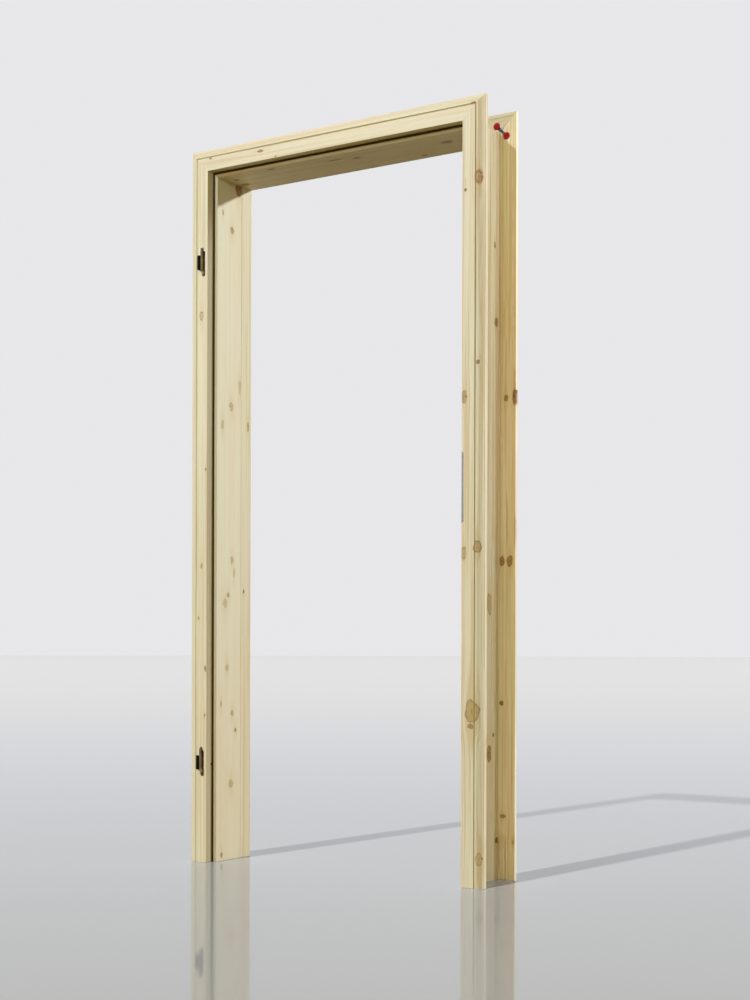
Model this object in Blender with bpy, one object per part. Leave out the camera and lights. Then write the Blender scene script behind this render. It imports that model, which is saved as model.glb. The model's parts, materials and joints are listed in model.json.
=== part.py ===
"""Adjustable pine door frame for a rebated door, built to close round the edge of a wall.

The fixed half has a moulded casing, a lining board and a rubber seal on each of its three sides. The
second half is a set of L-shaped casings at the back, whose tongues slide in a groove of the lining, so
that the frame fits walls of several thicknesses. All corners are mitred and drawn together by bolts with
a turning cam at each end. The left jamb carries two hinge halves, the right jamb the strike plate.

Units are metres, +Z is up, the front casing faces -Y and the feet stand at Z = 0. Sections are drawn in
two numbers: out, the distance outwards from the rebate edge, and deep, the distance back from the front
face of the casing.
"""

import math

import bmesh
import bpy
from mathutils import Matrix, Vector

# Running clearance between pieces
GAP = 0.0003
CUT_MARGIN = 0.002

# Opening for the door leaf
REBATE_WIDTH = 0.841
REBATE_HEIGHT = 1.983
STOP_WIDTH = 0.015

# Wall that the frame closes round, and how far the back half slides out
WALL = 0.155

# Front casing
CASING_WIDTH = 0.063
CASING_FLAT = 0.0373
CASING_THICKNESS = 0.0255
CASING_EDGE_BACK = 0.023
EDGE_ROUND = 0.001
QUIRK_WIDTH = 0.0034
QUIRK_DEPTH = 0.0045
QUIRK_SLOPE_END = 0.3
QUIRK_FLOOR_END = 0.6
BEAD_START = 0.0003
MOULD_DROP = 0.0095
MOULD_STEPS = 12

# Back of both casings: a lip at the outer edge bears on the wall
LIP_WIDTH = 0.009
LIP_HEIGHT = 0.0013
PAD_MARGIN = 0.001

# Lining board
LINING_THICKNESS = 0.027
LINING_ROUND = 0.0033
LINING_TONGUE_OUT = 0.0052
LINING_TONGUE_WIDTH = 0.0042
LINING_TONGUE_LENGTH = 0.0036
SEAM_CHAMFER = 0.0006

# Seal in the stop face
SEAL_GROOVE_OUT = -0.0047
SEAL_GROOVE_WIDTH = 0.0032
SEAL_GROOVE_DEPTH = 0.0082
SEAL_HEAD_WIDTH = 0.0060
SEAL_HEAD_HEIGHT = 0.0022
SEAL_BARB = 0.0035
SEAL_WAIST = 0.25
SEAL_STEPS = 8

# Back casing, an L with a tongue that slides in the lining
REAR_THICKNESS = 0.012
REAR_ROUND = 0.0045
REAR_QUIRK_DEPTH = 0.0015
REAR_MOULD_DROP = 0.0012
RETURN_LEG = 0.038
TONGUE_WIDTH = 0.009
TONGUE_LENGTH = 0.030
TONGUE_END_ROOM = 0.002

# Corner connectors: a double-ended bolt across the mitre and a cam on each end
CONNECTOR_INSET = 0.0457
CAM_SPACING = 0.042
CAM_POCKET_RADIUS = 0.0101
CAM_POCKET_DEPTH = 0.0083
CAM_PROUD = 0.0011
CAM_EDGE = 0.0006
CAM_CORE_RADIUS = 0.0016
CAM_WALL_TIGHT = 0.0074
CAM_WALL_OPEN = 0.0089
CAM_SPIRAL_START = 40
CAM_SPIRAL_SWEEP = 260
CAM_SPIRAL_STEPS = 13
CAM_NECK_SPREAD = 22
CAM_RECESS_LENGTH = 0.0086
CAM_RECESS_WIDTH = 0.0015
CAM_RECESS_DEPTH = 0.0014
BOLT_AXIS_DEPTH = 0.0044
BOLT_SHAFT_RADIUS = 0.0022
BOLT_COLLAR_RADIUS = 0.0034
BOLT_COLLAR_START = 0.0040
BOLT_COLLAR_END = 0.0098
BOLT_NECK_RADIUS = 0.0014
BOLT_HEAD_RADIUS = 0.0025
BOLT_HEAD_REACH = 0.0046

# Dowels across the mitres
LINING_DOWEL_RADIUS = 0.004
LINING_DOWEL_LENGTH = 0.024
LINING_DOWEL_DEEP = (0.052, 0.084)
CASING_DOWEL_RADIUS = 0.003
CASING_DOWEL_LENGTH = 0.024
CASING_DOWEL_OUT = 0.050
CASING_DOWEL_DEEP = 0.0145
DOWEL_CHAMFER = 0.001

# Hinge halves
HINGE_TOP_DROP = 0.2605
HINGE_LOWER_HEIGHT = 0.2875
HINGE_POCKET_OUT = 0.0087
HINGE_POCKET_WIDTH = 0.0117
HINGE_POCKET_HEIGHT = 0.0744
HINGE_POCKET_SHIFT = -0.0035
HINGE_POCKET_DEPTH = 0.016
LEAF_THICKNESS = 0.0025
LEAF_STEP = 0.0013
LEAF_ABOVE = 0.043
LEAF_DEPTH = 0.0155
LEAF_ROUND = 0.005
LEAF_SLOT_BELOW = 0.030
KNUCKLE_HEIGHT = 0.039
KNUCKLE_RADIUS = 0.0044
KNUCKLE_BORE_RADIUS = 0.0031
KNUCKLE_BORE_DEPTH = 0.033
SLEEVE_WALL = 0.0007
SLEEVE_BOTTOM = 0.001
SLEEVE_STAND_OFF = 0.0004
RECEIVER_DEEP = 0.0085
RECEIVER_HEIGHT = 0.052
RECEIVER_CORNER = 0.001
RECEIVER_SCREW_SPACING = 0.025
RECEIVER_SCREW_RADIUS = 0.002
RECEIVER_SCREW_HEAD_RADIUS = 0.0037
RECEIVER_SCREW_LENGTH = 0.0120

# Strike plate
STRIKE_CENTRE = 1.0355
STRIKE_HEIGHT = 0.185
STRIKE_LIP = 0.0055
STRIKE_FLANGE = 0.024
STRIKE_THICKNESS = 0.0015
STRIKE_CORNER = 0.007
STRIKE_LIP_SLANT = 0.004
STRIKE_HOLE_DEEP = (0.0072, 0.0192)
STRIKE_HOLE_CORNER = 0.0015
LATCH_HEIGHT = 0.036
LATCH_SHIFT = 0.040
LATCH_POCKET = 0.016
DEADBOLT_HEIGHT = 0.052
DEADBOLT_SHIFT = -0.035
DEADBOLT_POCKET = 0.023
STRIKE_SCREW_SHIFTS = (-0.077, 0.0065, 0.077)
STRIKE_SCREW_RADIUS = 0.0018
STRIKE_SCREW_HEAD_RADIUS = 0.0034
STRIKE_SCREW_LENGTH = 0.018

# Length of a screw's point as a share of its radius
SCREW_TIP = 1.6

# Smoothness of round pieces
ARC_STEPS = 4
ROUND_SEGMENTS = 22
SMALL_SEGMENTS = 12
SMOOTH_ANGLE = math.radians(35)

# Colour, roughness and metallic value of each finish
PINE = ((0.66, 0.53, 0.33), 0.55, 0.0)
DOWEL_WOOD = ((0.62, 0.47, 0.28), 0.7, 0.0)
SEAL_RUBBER = ((0.020, 0.011, 0.006), 0.6, 0.0)
BLUED_STEEL = ((0.055, 0.085, 0.15), 0.35, 0.9)
BRIGHT_STEEL = ((0.45, 0.44, 0.40), 0.35, 1.0)
STRIKE_STEEL = ((0.30, 0.30, 0.27), 0.4, 1.0)
SCREW_STEEL = ((0.42, 0.36, 0.22), 0.35, 1.0)
BLACK_PLASTIC = ((0.012, 0.011, 0.009), 0.45, 0.0)
RED_PLASTIC = ((0.42, 0.012, 0.018), 0.4, 0.0)

# Places that follow from the sizes above
CASING_WALL_FACE = CASING_EDGE_BACK - LIP_HEIGHT
REAR_EDGE_FRONT = CASING_EDGE_BACK + WALL
REAR_WALL_FACE = REAR_EDGE_FRONT + LIP_HEIGHT
REAR_FACE = REAR_EDGE_FRONT + REAR_THICKNESS
LINING_FRONT = CASING_THICKNESS + GAP
LINING_OUTER = LINING_THICKNESS - STOP_WIDTH
LINING_MIDDLE = (LINING_OUTER - STOP_WIDTH) / 2
SEAM = REAR_EDGE_FRONT - RETURN_LEG
MITRE_GAP = GAP / math.sqrt(2)
SLEEVE_RADIUS = KNUCKLE_RADIUS + GAP + SLEEVE_WALL
KNUCKLE_DEEP = -SLEEVE_RADIUS - SLEEVE_STAND_OFF
KNUCKLE_PROUD = SLEEVE_RADIUS - KNUCKLE_DEEP
FRONT_Y = (KNUCKLE_PROUD - REAR_FACE) / 2
LEAF_OUT = HINGE_POCKET_OUT + HINGE_POCKET_WIDTH + LEAF_STEP
KNUCKLE_OUT = LEAF_OUT + KNUCKLE_RADIUS
LEAF_SLOT_OUT = LEAF_OUT + LEAF_THICKNESS + GAP
RECEIVER_OUT = HINGE_POCKET_OUT + HINGE_POCKET_WIDTH / 2
HINGE_HEIGHTS = {
    "upper": REBATE_HEIGHT - HINGE_TOP_DROP,
    "lower": HINGE_LOWER_HEIGHT,
}
CAM_RADIUS = CAM_POCKET_RADIUS - GAP
CONNECTOR_OUT = CASING_WIDTH - CONNECTOR_INSET
SIDES = {"left": -1, "right": 1}

# Depth of the face that holds the connectors, and 1 where it looks to +Y or -1 where it looks to -Y
CONNECTORS = {"front": (CASING_WALL_FACE, 1), "rear": (REAR_WALL_FACE, -1)}


def clear_scene():
    """Remove whatever the open file holds."""
    for thing in list(bpy.data.objects):
        bpy.data.objects.remove(thing, do_unlink=True)


def finish(thing, look):
    """Give an object its own material with the colour, roughness and metallic value of its finish."""
    color, roughness, metallic = look
    material = bpy.data.materials.new(thing.name + "_finish")
    material.use_nodes = True
    surface = material.node_tree.nodes["Principled BSDF"]
    surface.inputs["Base Color"].default_value = (*color, 1.0)
    surface.inputs["Roughness"].default_value = roughness
    surface.inputs["Metallic"].default_value = metallic
    thing.data.materials.clear()
    thing.data.materials.append(material)


def make_object(name, shape):
    """Turn a bmesh into an object with its faces pointing out and its round faces smooth."""
    bmesh.ops.recalc_face_normals(shape, faces=shape.faces)
    mesh = bpy.data.meshes.new(name)
    shape.to_mesh(mesh)
    shape.free()
    mesh.shade_smooth()
    mesh.set_sharp_from_angle(angle=SMOOTH_ANGLE)
    thing = bpy.data.objects.new(name, mesh)
    bpy.context.scene.collection.objects.link(thing)
    return thing


def combine(body, others, operation):
    """Boolean the other objects into the body, keep the result and remove the others."""
    for other in others:
        modifier = body.modifiers.new("combine", "BOOLEAN")
        modifier.operation = operation
        modifier.solver = "EXACT"
        modifier.object = other
    graph = bpy.context.evaluated_depsgraph_get()
    result = bpy.data.meshes.new_from_object(body.evaluated_get(graph))
    result.name = body.name
    result.shade_smooth()
    result.set_sharp_from_angle(angle=SMOOTH_ANGLE)
    body.modifiers.clear()
    body.data = result
    for other in others:
        bpy.data.objects.remove(other, do_unlink=True)
    return body


def carve(body, cutters):
    """Cut every cutter out of the body."""
    return combine(body, cutters, "DIFFERENCE")


def fuse(body, others):
    """Weld the other solids to the body."""
    return combine(body, others, "UNION")


def spot(side, out, deep, height):
    """World point on a jamb, with side -1 for the left and 1 for the right."""
    return Vector((side * (REBATE_WIDTH / 2 + out), FRONT_Y + deep, height))


def arc(centre, radius, start, end, steps=ARC_STEPS):
    """Points on an arc; the angles are in degrees and run from the first axis to the second."""
    points = []
    for step in range(steps + 1):
        angle = math.radians(start + (end - start) * step / steps)
        points.append((centre[0] + radius * math.cos(angle), centre[1] + radius * math.sin(angle)))
    return points


def rectangle(low, high):
    """Corners of a rectangle."""
    return [(low[0], low[1]), (high[0], low[1]), (high[0], high[1]), (low[0], high[1])]


def rounded_rectangle(low, high, radius, steps=ARC_STEPS):
    """Outline of a rectangle with four round corners."""
    outline = []
    outline += arc((high[0] - radius, low[1] + radius), radius, -90, 0, steps)
    outline += arc((high[0] - radius, high[1] - radius), radius, 0, 90, steps)
    outline += arc((low[0] + radius, high[1] - radius), radius, 90, 180, steps)
    outline += arc((low[0] + radius, low[1] + radius), radius, 180, 270, steps)
    return outline


def prism(name, outline, low, high, place):
    """Extrude an outline from low to high; place turns (u, v, w) into a world point."""
    shape = bmesh.new()
    rings = []
    for level in (low, high):
        rings.append([shape.verts.new(place(u, v, level)) for u, v in outline])
    for index in range(len(outline)):
        following = (index + 1) % len(outline)
        corners = (rings[0][index], rings[0][following], rings[1][following], rings[1][index])
        shape.faces.new(corners)
    shape.faces.new(rings[0])
    shape.faces.new(rings[1])
    return make_object(name, shape)


def plain(u, v, w):
    """Place of a prism that is drawn round the origin."""
    return Vector((u, v, w))


def on_front(side):
    """Place for outlines drawn on the front face of a jamb as (out, height), extruded backwards."""
    return lambda out, height, deep: spot(side, out, deep, height)


def on_rebate(side):
    """Place for outlines drawn on the rebate wall as (deep, height), extruded outwards."""
    return lambda deep, height, out: spot(side, out, deep, height)


def lathe(name, profile, segments=ROUND_SEGMENTS):
    """Turn a profile of (radius, height) points, listed from bottom to top, about the Z axis."""
    shape = bmesh.new()
    rings = []
    for radius, height in profile:
        if radius == 0:
            rings.append([shape.verts.new((0, 0, height))])
            continue
        ring = []
        for step in range(segments):
            angle = 2 * math.pi * step / segments
            ring.append(shape.verts.new((radius * math.cos(angle), radius * math.sin(angle), height)))
        rings.append(ring)
    for lower, upper in zip(rings, rings[1:]):
        for step in range(segments):
            following = (step + 1) % segments
            corners = [lower[step % len(lower)], lower[following % len(lower)]]
            corners += [upper[following % len(upper)], upper[step % len(upper)]]
            shape.faces.new(list(dict.fromkeys(corners)))
    for ring in (rings[0], rings[-1]):
        if len(ring) > 1:
            shape.faces.new(ring)
    return make_object(name, shape)


def aim(thing, origin, z_axis, x_axis):
    """Stand an object at a point with its Z and X axes along the given directions."""
    z_axis = Vector(z_axis).normalized()
    x_axis = Vector(x_axis).normalized()
    turn = Matrix((x_axis, z_axis.cross(x_axis), z_axis)).transposed()
    thing.matrix_world = Matrix.Translation(origin) @ turn.to_4x4()
    return thing


def mitred_bar(name, section, place):
    """One side of the frame with the given section, cut at 45 degrees where it meets its neighbours."""
    shape = bmesh.new()
    rings = []
    for end in (0, 1):
        ring = []
        for out, deep in section:
            if place == "head":
                side = 2 * end - 1
                point = spot(side, out - MITRE_GAP, deep, REBATE_HEIGHT + out)
            else:
                point = spot(SIDES[place], out, deep, end * (REBATE_HEIGHT + out - MITRE_GAP))
            ring.append(shape.verts.new(point))
        rings.append(ring)
    for index in range(len(section)):
        following = (index + 1) % len(section)
        corners = (rings[0][index], rings[0][following], rings[1][following], rings[1][index])
        shape.faces.new(corners)
    shape.faces.new(rings[0])
    shape.faces.new(rings[1])
    return make_object(name, shape)


def moulding(start_out, level, drop, outwards):
    """Ogee from the quirk to the outer edge; outwards is the direction in which the surface falls away."""
    points = []
    run = CASING_WIDTH - EDGE_ROUND - start_out
    for step in range(MOULD_STEPS + 1):
        part = step / MOULD_STEPS
        fall = drop * (1 - math.cos(math.pi * part)) / 2
        points.append((start_out + run * part, level - outwards * fall))
    points.append((CASING_WIDTH, points[-1][1] - outwards * EDGE_ROUND))
    return points


def quirk(level, depth, outwards):
    """Narrow groove between the flat and the moulding."""
    bottom = level - outwards * depth
    return [
        (CASING_FLAT, level),
        (CASING_FLAT + QUIRK_WIDTH * QUIRK_SLOPE_END, bottom),
        (CASING_FLAT + QUIRK_WIDTH * QUIRK_FLOOR_END, bottom),
    ]


def front_casing_section():
    """Section of the front casing, with the groove that takes the tongue of the lining."""
    section = arc((EDGE_ROUND, EDGE_ROUND), EDGE_ROUND, 180, 270, 2)
    section += quirk(0.0, QUIRK_DEPTH, -1)
    section += moulding(CASING_FLAT + QUIRK_WIDTH, BEAD_START, MOULD_DROP, -1)
    pad_edge = LINING_OUTER + PAD_MARGIN
    groove_low = LINING_TONGUE_OUT - GAP
    groove_high = LINING_TONGUE_OUT + LINING_TONGUE_WIDTH + GAP
    groove_end = LINING_FRONT - LINING_TONGUE_LENGTH - GAP
    section += [
        (CASING_WIDTH, CASING_EDGE_BACK),
        (CASING_WIDTH - LIP_WIDTH, CASING_EDGE_BACK),
        (CASING_WIDTH - LIP_WIDTH, CASING_WALL_FACE),
        (pad_edge, CASING_WALL_FACE),
        (pad_edge, CASING_THICKNESS),
        (groove_high, CASING_THICKNESS),
        (groove_high, groove_end),
        (groove_low, groove_end),
        (groove_low, CASING_THICKNESS),
        (0.0, CASING_THICKNESS),
    ]
    return section


def lining_section():
    """Section of the lining board: tongue and seal groove in front, groove for the back casing behind."""
    seal_low = SEAL_GROOVE_OUT
    seal_high = SEAL_GROOVE_OUT + SEAL_GROOVE_WIDTH
    seal_end = LINING_FRONT + SEAL_GROOVE_DEPTH
    tongue_high = LINING_TONGUE_OUT + LINING_TONGUE_WIDTH
    tongue_end = LINING_FRONT - LINING_TONGUE_LENGTH
    groove_low = LINING_MIDDLE - TONGUE_WIDTH / 2 - GAP
    groove_high = LINING_MIDDLE + TONGUE_WIDTH / 2 + GAP
    groove_end = SEAM - TONGUE_LENGTH - TONGUE_END_ROOM
    centre = (LINING_ROUND - STOP_WIDTH, LINING_FRONT + LINING_ROUND)
    section = arc(centre, LINING_ROUND, 180, 270)
    section += [
        (seal_low, LINING_FRONT),
        (seal_low, seal_end),
        (seal_high, seal_end),
        (seal_high, LINING_FRONT),
        (LINING_TONGUE_OUT, LINING_FRONT),
        (LINING_TONGUE_OUT, tongue_end),
        (tongue_high, tongue_end),
        (tongue_high, LINING_FRONT),
        (LINING_OUTER, LINING_FRONT),
        (LINING_OUTER, SEAM - SEAM_CHAMFER),
        (LINING_OUTER - SEAM_CHAMFER, SEAM),
        (groove_high, SEAM),
        (groove_high, groove_end),
        (groove_low, groove_end),
        (groove_low, SEAM),
        (SEAM_CHAMFER - STOP_WIDTH, SEAM),
        (-STOP_WIDTH, SEAM - SEAM_CHAMFER),
    ]
    return section


def rear_casing_section():
    """Section of the back casing: a moulded board, a return leg and the tongue that slides."""
    tongue_low = LINING_MIDDLE - TONGUE_WIDTH / 2
    tongue_high = LINING_MIDDLE + TONGUE_WIDTH / 2
    tongue_end = SEAM - TONGUE_LENGTH
    leg_start = SEAM + GAP
    section = [
        (-STOP_WIDTH, leg_start + SEAM_CHAMFER),
        (SEAM_CHAMFER - STOP_WIDTH, leg_start),
        (tongue_low, leg_start),
        (tongue_low, tongue_end + SEAM_CHAMFER),
        (tongue_low + SEAM_CHAMFER, tongue_end),
        (tongue_high - SEAM_CHAMFER, tongue_end),
        (tongue_high, tongue_end + SEAM_CHAMFER),
        (tongue_high, leg_start),
        (LINING_OUTER - SEAM_CHAMFER, leg_start),
        (LINING_OUTER, leg_start + SEAM_CHAMFER),
        (LINING_OUTER, REAR_WALL_FACE),
        (CASING_WIDTH - LIP_WIDTH, REAR_WALL_FACE),
        (CASING_WIDTH - LIP_WIDTH, REAR_EDGE_FRONT),
        (CASING_WIDTH, REAR_EDGE_FRONT),
    ]
    section += reversed(moulding(CASING_FLAT + QUIRK_WIDTH, REAR_FACE, REAR_MOULD_DROP, 1))
    section += reversed(quirk(REAR_FACE, REAR_QUIRK_DEPTH, 1))
    centre = (REAR_ROUND - STOP_WIDTH, REAR_FACE - REAR_ROUND)
    section += arc(centre, REAR_ROUND, 90, 180)
    return section


def seal_section():
    """Section of the rubber seal: a crowned head over the stop face and a ribbed foot in its groove."""
    foot_low = SEAL_GROOVE_OUT + GAP
    foot_high = SEAL_GROOVE_OUT + SEAL_GROOVE_WIDTH - GAP
    waist = (foot_high - foot_low) * SEAL_WAIST
    foot_end = LINING_FRONT + SEAL_GROOVE_DEPTH - GAP
    seat = LINING_FRONT - GAP
    head_middle = -GAP - SEAL_HEAD_WIDTH / 2
    section = []
    for across, rise in arc((0, 0), 1, 180, 360, SEAL_STEPS):
        section.append((head_middle + SEAL_HEAD_WIDTH / 2 * across, seat + SEAL_HEAD_HEIGHT * rise))
    section += [
        (foot_high - waist, seat),
        (foot_high - waist, foot_end - SEAL_BARB),
        (foot_high, foot_end - SEAL_BARB),
        (foot_high - waist, foot_end),
        (foot_low + waist, foot_end),
        (foot_low, foot_end - SEAL_BARB),
        (foot_low + waist, foot_end - SEAL_BARB),
        (foot_low + waist, seat),
    ]
    return section


def mitre_line(corner_side, out, deep):
    """Point on the mitre of a top corner, and the unit direction that crosses it from head to jamb."""
    point = spot(corner_side, out, deep, REBATE_HEIGHT + out)
    return point, Vector((corner_side, 0, -1)).normalized()


def dowel_shape(name, radius, length, margin):
    """Dowel with chamfered ends, or the hole for it when the margin is more than zero."""
    half = length / 2 + margin
    width = radius + margin
    profile = [
        (width - DOWEL_CHAMFER, -half),
        (width, DOWEL_CHAMFER - half),
        (width, half - DOWEL_CHAMFER),
        (width - DOWEL_CHAMFER, half),
    ]
    return lathe(name, profile, SMALL_SEGMENTS)


def place_dowel(name, corner_side, out, deep, radius, length, margin=0.0):
    """Dowel across the mitre of a top corner."""
    point, across = mitre_line(corner_side, out, deep)
    return aim(dowel_shape(name, radius, length, margin), point, across, (0, 1, 0))


def connector_centre(corner_side, wall_face, facing):
    """Middle of a corner bolt; facing is -1 where the wall side of the casing looks to -Y."""
    deep = wall_face - facing * BOLT_AXIS_DEPTH
    return mitre_line(corner_side, CONNECTOR_OUT, deep)


def connector_cutter(corner_side, wall_face, facing):
    """Two cam pockets and the channel for the bolt between them, as one cutter."""
    middle, across = connector_centre(corner_side, wall_face, facing)
    outwards = Vector((0, facing, 0))
    surface = middle + outwards * BOLT_AXIS_DEPTH
    pockets = []
    for end in (-1, 1):
        profile = [(CAM_POCKET_RADIUS, -CAM_POCKET_DEPTH), (CAM_POCKET_RADIUS, CUT_MARGIN)]
        pocket = lathe("cam_pocket", profile)
        pockets.append(aim(pocket, surface + across * end * CAM_SPACING / 2, outwards, across))
    half_width = BOLT_COLLAR_RADIUS + GAP
    floor = -BOLT_AXIS_DEPTH - half_width
    outline = rectangle((-CAM_SPACING / 2, -half_width), (CAM_SPACING / 2, half_width))
    channel = prism("bolt_channel", outline, floor, CUT_MARGIN, plain)
    return fuse(aim(channel, surface, outwards, across), pockets)


def corner_bolt(name, corner_side, wall_face, facing):
    """Double-ended bolt with a ball head at each end and two guiding collars."""
    head_middle = CAM_SPACING / 2 - BOLT_HEAD_REACH
    half = [
        (BOLT_SHAFT_RADIUS, 0.0),
        (BOLT_SHAFT_RADIUS, BOLT_COLLAR_START),
        (BOLT_COLLAR_RADIUS, BOLT_COLLAR_START),
        (BOLT_COLLAR_RADIUS, BOLT_COLLAR_END),
        (BOLT_NECK_RADIUS, BOLT_COLLAR_END),
    ]
    neck_angle = math.degrees(math.asin(BOLT_NECK_RADIUS / BOLT_HEAD_RADIUS))
    for radius, height in arc((0, head_middle), BOLT_HEAD_RADIUS, neck_angle - 90, 90, 7)[:-1]:
        half.append((radius, height))
    half.append((0, head_middle + BOLT_HEAD_RADIUS))
    profile = [(radius, -height) for radius, height in reversed(half[1:])] + half[1:]
    bolt = lathe(name, profile, SMALL_SEGMENTS)
    middle, across = connector_centre(corner_side, wall_face, facing)
    aim(bolt, middle, across, (0, 1, 0))
    finish(bolt, BLUED_STEEL)
    return bolt


def cam_shape(name):
    """Cam disc, standing on the floor of its pocket at Z = 0, with the bolt along +X when tight."""
    top = CAM_POCKET_DEPTH + CAM_PROUD
    profile = [
        (CAM_RADIUS, GAP),
        (CAM_RADIUS, top - CAM_EDGE),
        (CAM_RADIUS - CAM_EDGE, top),
    ]
    cam = lathe(name, profile)
    axis_height = CAM_POCKET_DEPTH - BOLT_AXIS_DEPTH
    head_room = BOLT_HEAD_RADIUS + GAP
    neck_room = BOLT_NECK_RADIUS + GAP
    spiral_end = CAM_SPIRAL_START - CAM_SPIRAL_SWEEP
    cavity = []
    for step in range(CAM_SPIRAL_STEPS + 1):
        part = step / CAM_SPIRAL_STEPS
        angle = math.radians(CAM_SPIRAL_START - CAM_SPIRAL_SWEEP * part)
        reach = CAM_WALL_TIGHT + (CAM_WALL_OPEN - CAM_WALL_TIGHT) * part
        cavity.append((reach * math.cos(angle), reach * math.sin(angle)))
    cavity += arc((0, 0), CAM_CORE_RADIUS, spiral_end, CAM_SPIRAL_START, 8)
    slot_start = CAM_SPIRAL_START - CAM_NECK_SPREAD
    slot_end = spiral_end + CAM_NECK_SPREAD
    slot = arc((0, 0), CAM_RADIUS + CUT_MARGIN, slot_start, slot_end, CAM_SPIRAL_STEPS)
    slot += arc((0, 0), CAM_WALL_TIGHT - CUT_MARGIN, slot_end, slot_start, CAM_SPIRAL_STEPS)
    entry_end = -CAM_RADIUS - CUT_MARGIN
    entry = rectangle((entry_end, -head_room), (-CAM_WALL_TIGHT + CUT_MARGIN, head_room))
    cross_long = CAM_RECESS_LENGTH / 2
    cross_short = CAM_RECESS_WIDTH / 2
    recess_floor = top - CAM_RECESS_DEPTH
    cutters = [
        prism("cavity", cavity, axis_height - head_room, axis_height + head_room, plain),
        prism("neck_slot", slot, axis_height - neck_room, axis_height + neck_room, plain),
        prism("entry", entry, axis_height - head_room, axis_height + head_room, plain),
    ]
    for long_x, long_y in ((cross_long, cross_short), (cross_short, cross_long)):
        outline = rectangle((-long_x, -long_y), (long_x, long_y))
        cutters.append(prism("recess", outline, recess_floor, top + CUT_MARGIN, plain))
    return carve(cam, cutters)


def place_cams(prefix, corner_name, corner_side, wall_face, facing, pattern):
    """Two cams of one corner, sharing the pattern's mesh, each with its origin on its turning axis."""
    middle, across = connector_centre(corner_side, wall_face, facing)
    outwards = Vector((0, facing, 0))
    floor = middle + outwards * (BOLT_AXIS_DEPTH - CAM_POCKET_DEPTH)
    for board, end in (("head", -1), ("jamb", 1)):
        cam = pattern.copy()
        cam.name = f"{prefix}_cam_{corner_name}_{board}"
        cam.data = pattern.data.copy()
        cam.data.name = cam.name
        bpy.context.scene.collection.objects.link(cam)
        aim(cam, floor + across * end * CAM_SPACING / 2, outwards, -end * across)
        finish(cam, RED_PLASTIC)


def hinge_cutters(height):
    """Cutters for the round-ended pocket of one hinge and for the slot beside it that takes the leaf."""
    place = on_front(SIDES["left"])
    middle = height + HINGE_POCKET_SHIFT
    low = (HINGE_POCKET_OUT, middle - HINGE_POCKET_HEIGHT / 2)
    high = (HINGE_POCKET_OUT + HINGE_POCKET_WIDTH, middle + HINGE_POCKET_HEIGHT / 2)
    pocket = rounded_rectangle(low, high, HINGE_POCKET_WIDTH / 2, 2 * ARC_STEPS)
    slot = rectangle((RECEIVER_OUT, height - LEAF_SLOT_BELOW), (LEAF_SLOT_OUT, height + LEAF_ABOVE + GAP))
    return [
        prism("hinge_pocket", pocket, -CUT_MARGIN, HINGE_POCKET_DEPTH, place),
        prism("leaf_slot", slot, -CUT_MARGIN, HINGE_POCKET_DEPTH + GAP, place),
    ]


def hinge_leaf(name, height):
    """Steel leaf that stands in the casing, with the knuckle that takes the pin of the door half."""
    side = SIDES["left"]
    bottom = height - KNUCKLE_HEIGHT / 2
    top = height + LEAF_ABOVE
    outline = [(KNUCKLE_DEEP, bottom), (LEAF_DEPTH, bottom)]
    outline += arc((LEAF_DEPTH - LEAF_ROUND, top - LEAF_ROUND), LEAF_ROUND, 0, 90)
    outline += arc((KNUCKLE_DEEP + LEAF_ROUND, top - LEAF_ROUND), LEAF_ROUND, 90, 180)
    leaf = prism(name, outline, LEAF_OUT, LEAF_OUT + LEAF_THICKNESS, on_rebate(side))
    up = Vector((0, 0, 1))
    foot = spot(side, KNUCKLE_OUT, KNUCKLE_DEEP, bottom)
    knuckle = lathe("knuckle", [(KNUCKLE_RADIUS, 0.0), (KNUCKLE_RADIUS, KNUCKLE_HEIGHT)])
    fuse(leaf, [aim(knuckle, foot, up, (1, 0, 0))])
    bore_floor = KNUCKLE_HEIGHT - KNUCKLE_BORE_DEPTH
    bore = lathe("bore", [(KNUCKLE_BORE_RADIUS, bore_floor), (KNUCKLE_BORE_RADIUS, LEAF_ABOVE * 2)])
    carve(leaf, [aim(bore, foot, up, (1, 0, 0))])
    finish(leaf, BRIGHT_STEEL)
    return leaf


def hinge_sleeve(name, height):
    """Plastic cup over the knuckle, open on the side where the leaf comes out."""
    side = SIDES["left"]
    bottom = height - KNUCKLE_HEIGHT / 2
    up = Vector((0, 0, 1))
    foot = spot(side, KNUCKLE_OUT, KNUCKLE_DEEP, bottom)
    outer = [(SLEEVE_RADIUS, -GAP - SLEEVE_BOTTOM), (SLEEVE_RADIUS, KNUCKLE_HEIGHT)]
    inner = [(KNUCKLE_RADIUS + GAP, -GAP), (KNUCKLE_RADIUS + GAP, KNUCKLE_HEIGHT + CUT_MARGIN)]
    sleeve = aim(lathe(name, outer), foot, up, (1, 0, 0))
    room = aim(lathe("sleeve_room", inner), foot, up, (1, 0, 0))
    slot_low = (KNUCKLE_DEEP - GAP, bottom - GAP)
    slot_high = (SLEEVE_RADIUS, height + KNUCKLE_HEIGHT)
    slot_outline = rectangle(slot_low, slot_high)
    leaf_side = LEAF_OUT + LEAF_THICKNESS + GAP
    slot = prism("sleeve_slot", slot_outline, KNUCKLE_OUT - 2 * SLEEVE_RADIUS, leaf_side, on_rebate(side))
    carve(sleeve, [room, slot])
    finish(sleeve, BLACK_PLASTIC)
    return sleeve


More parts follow.
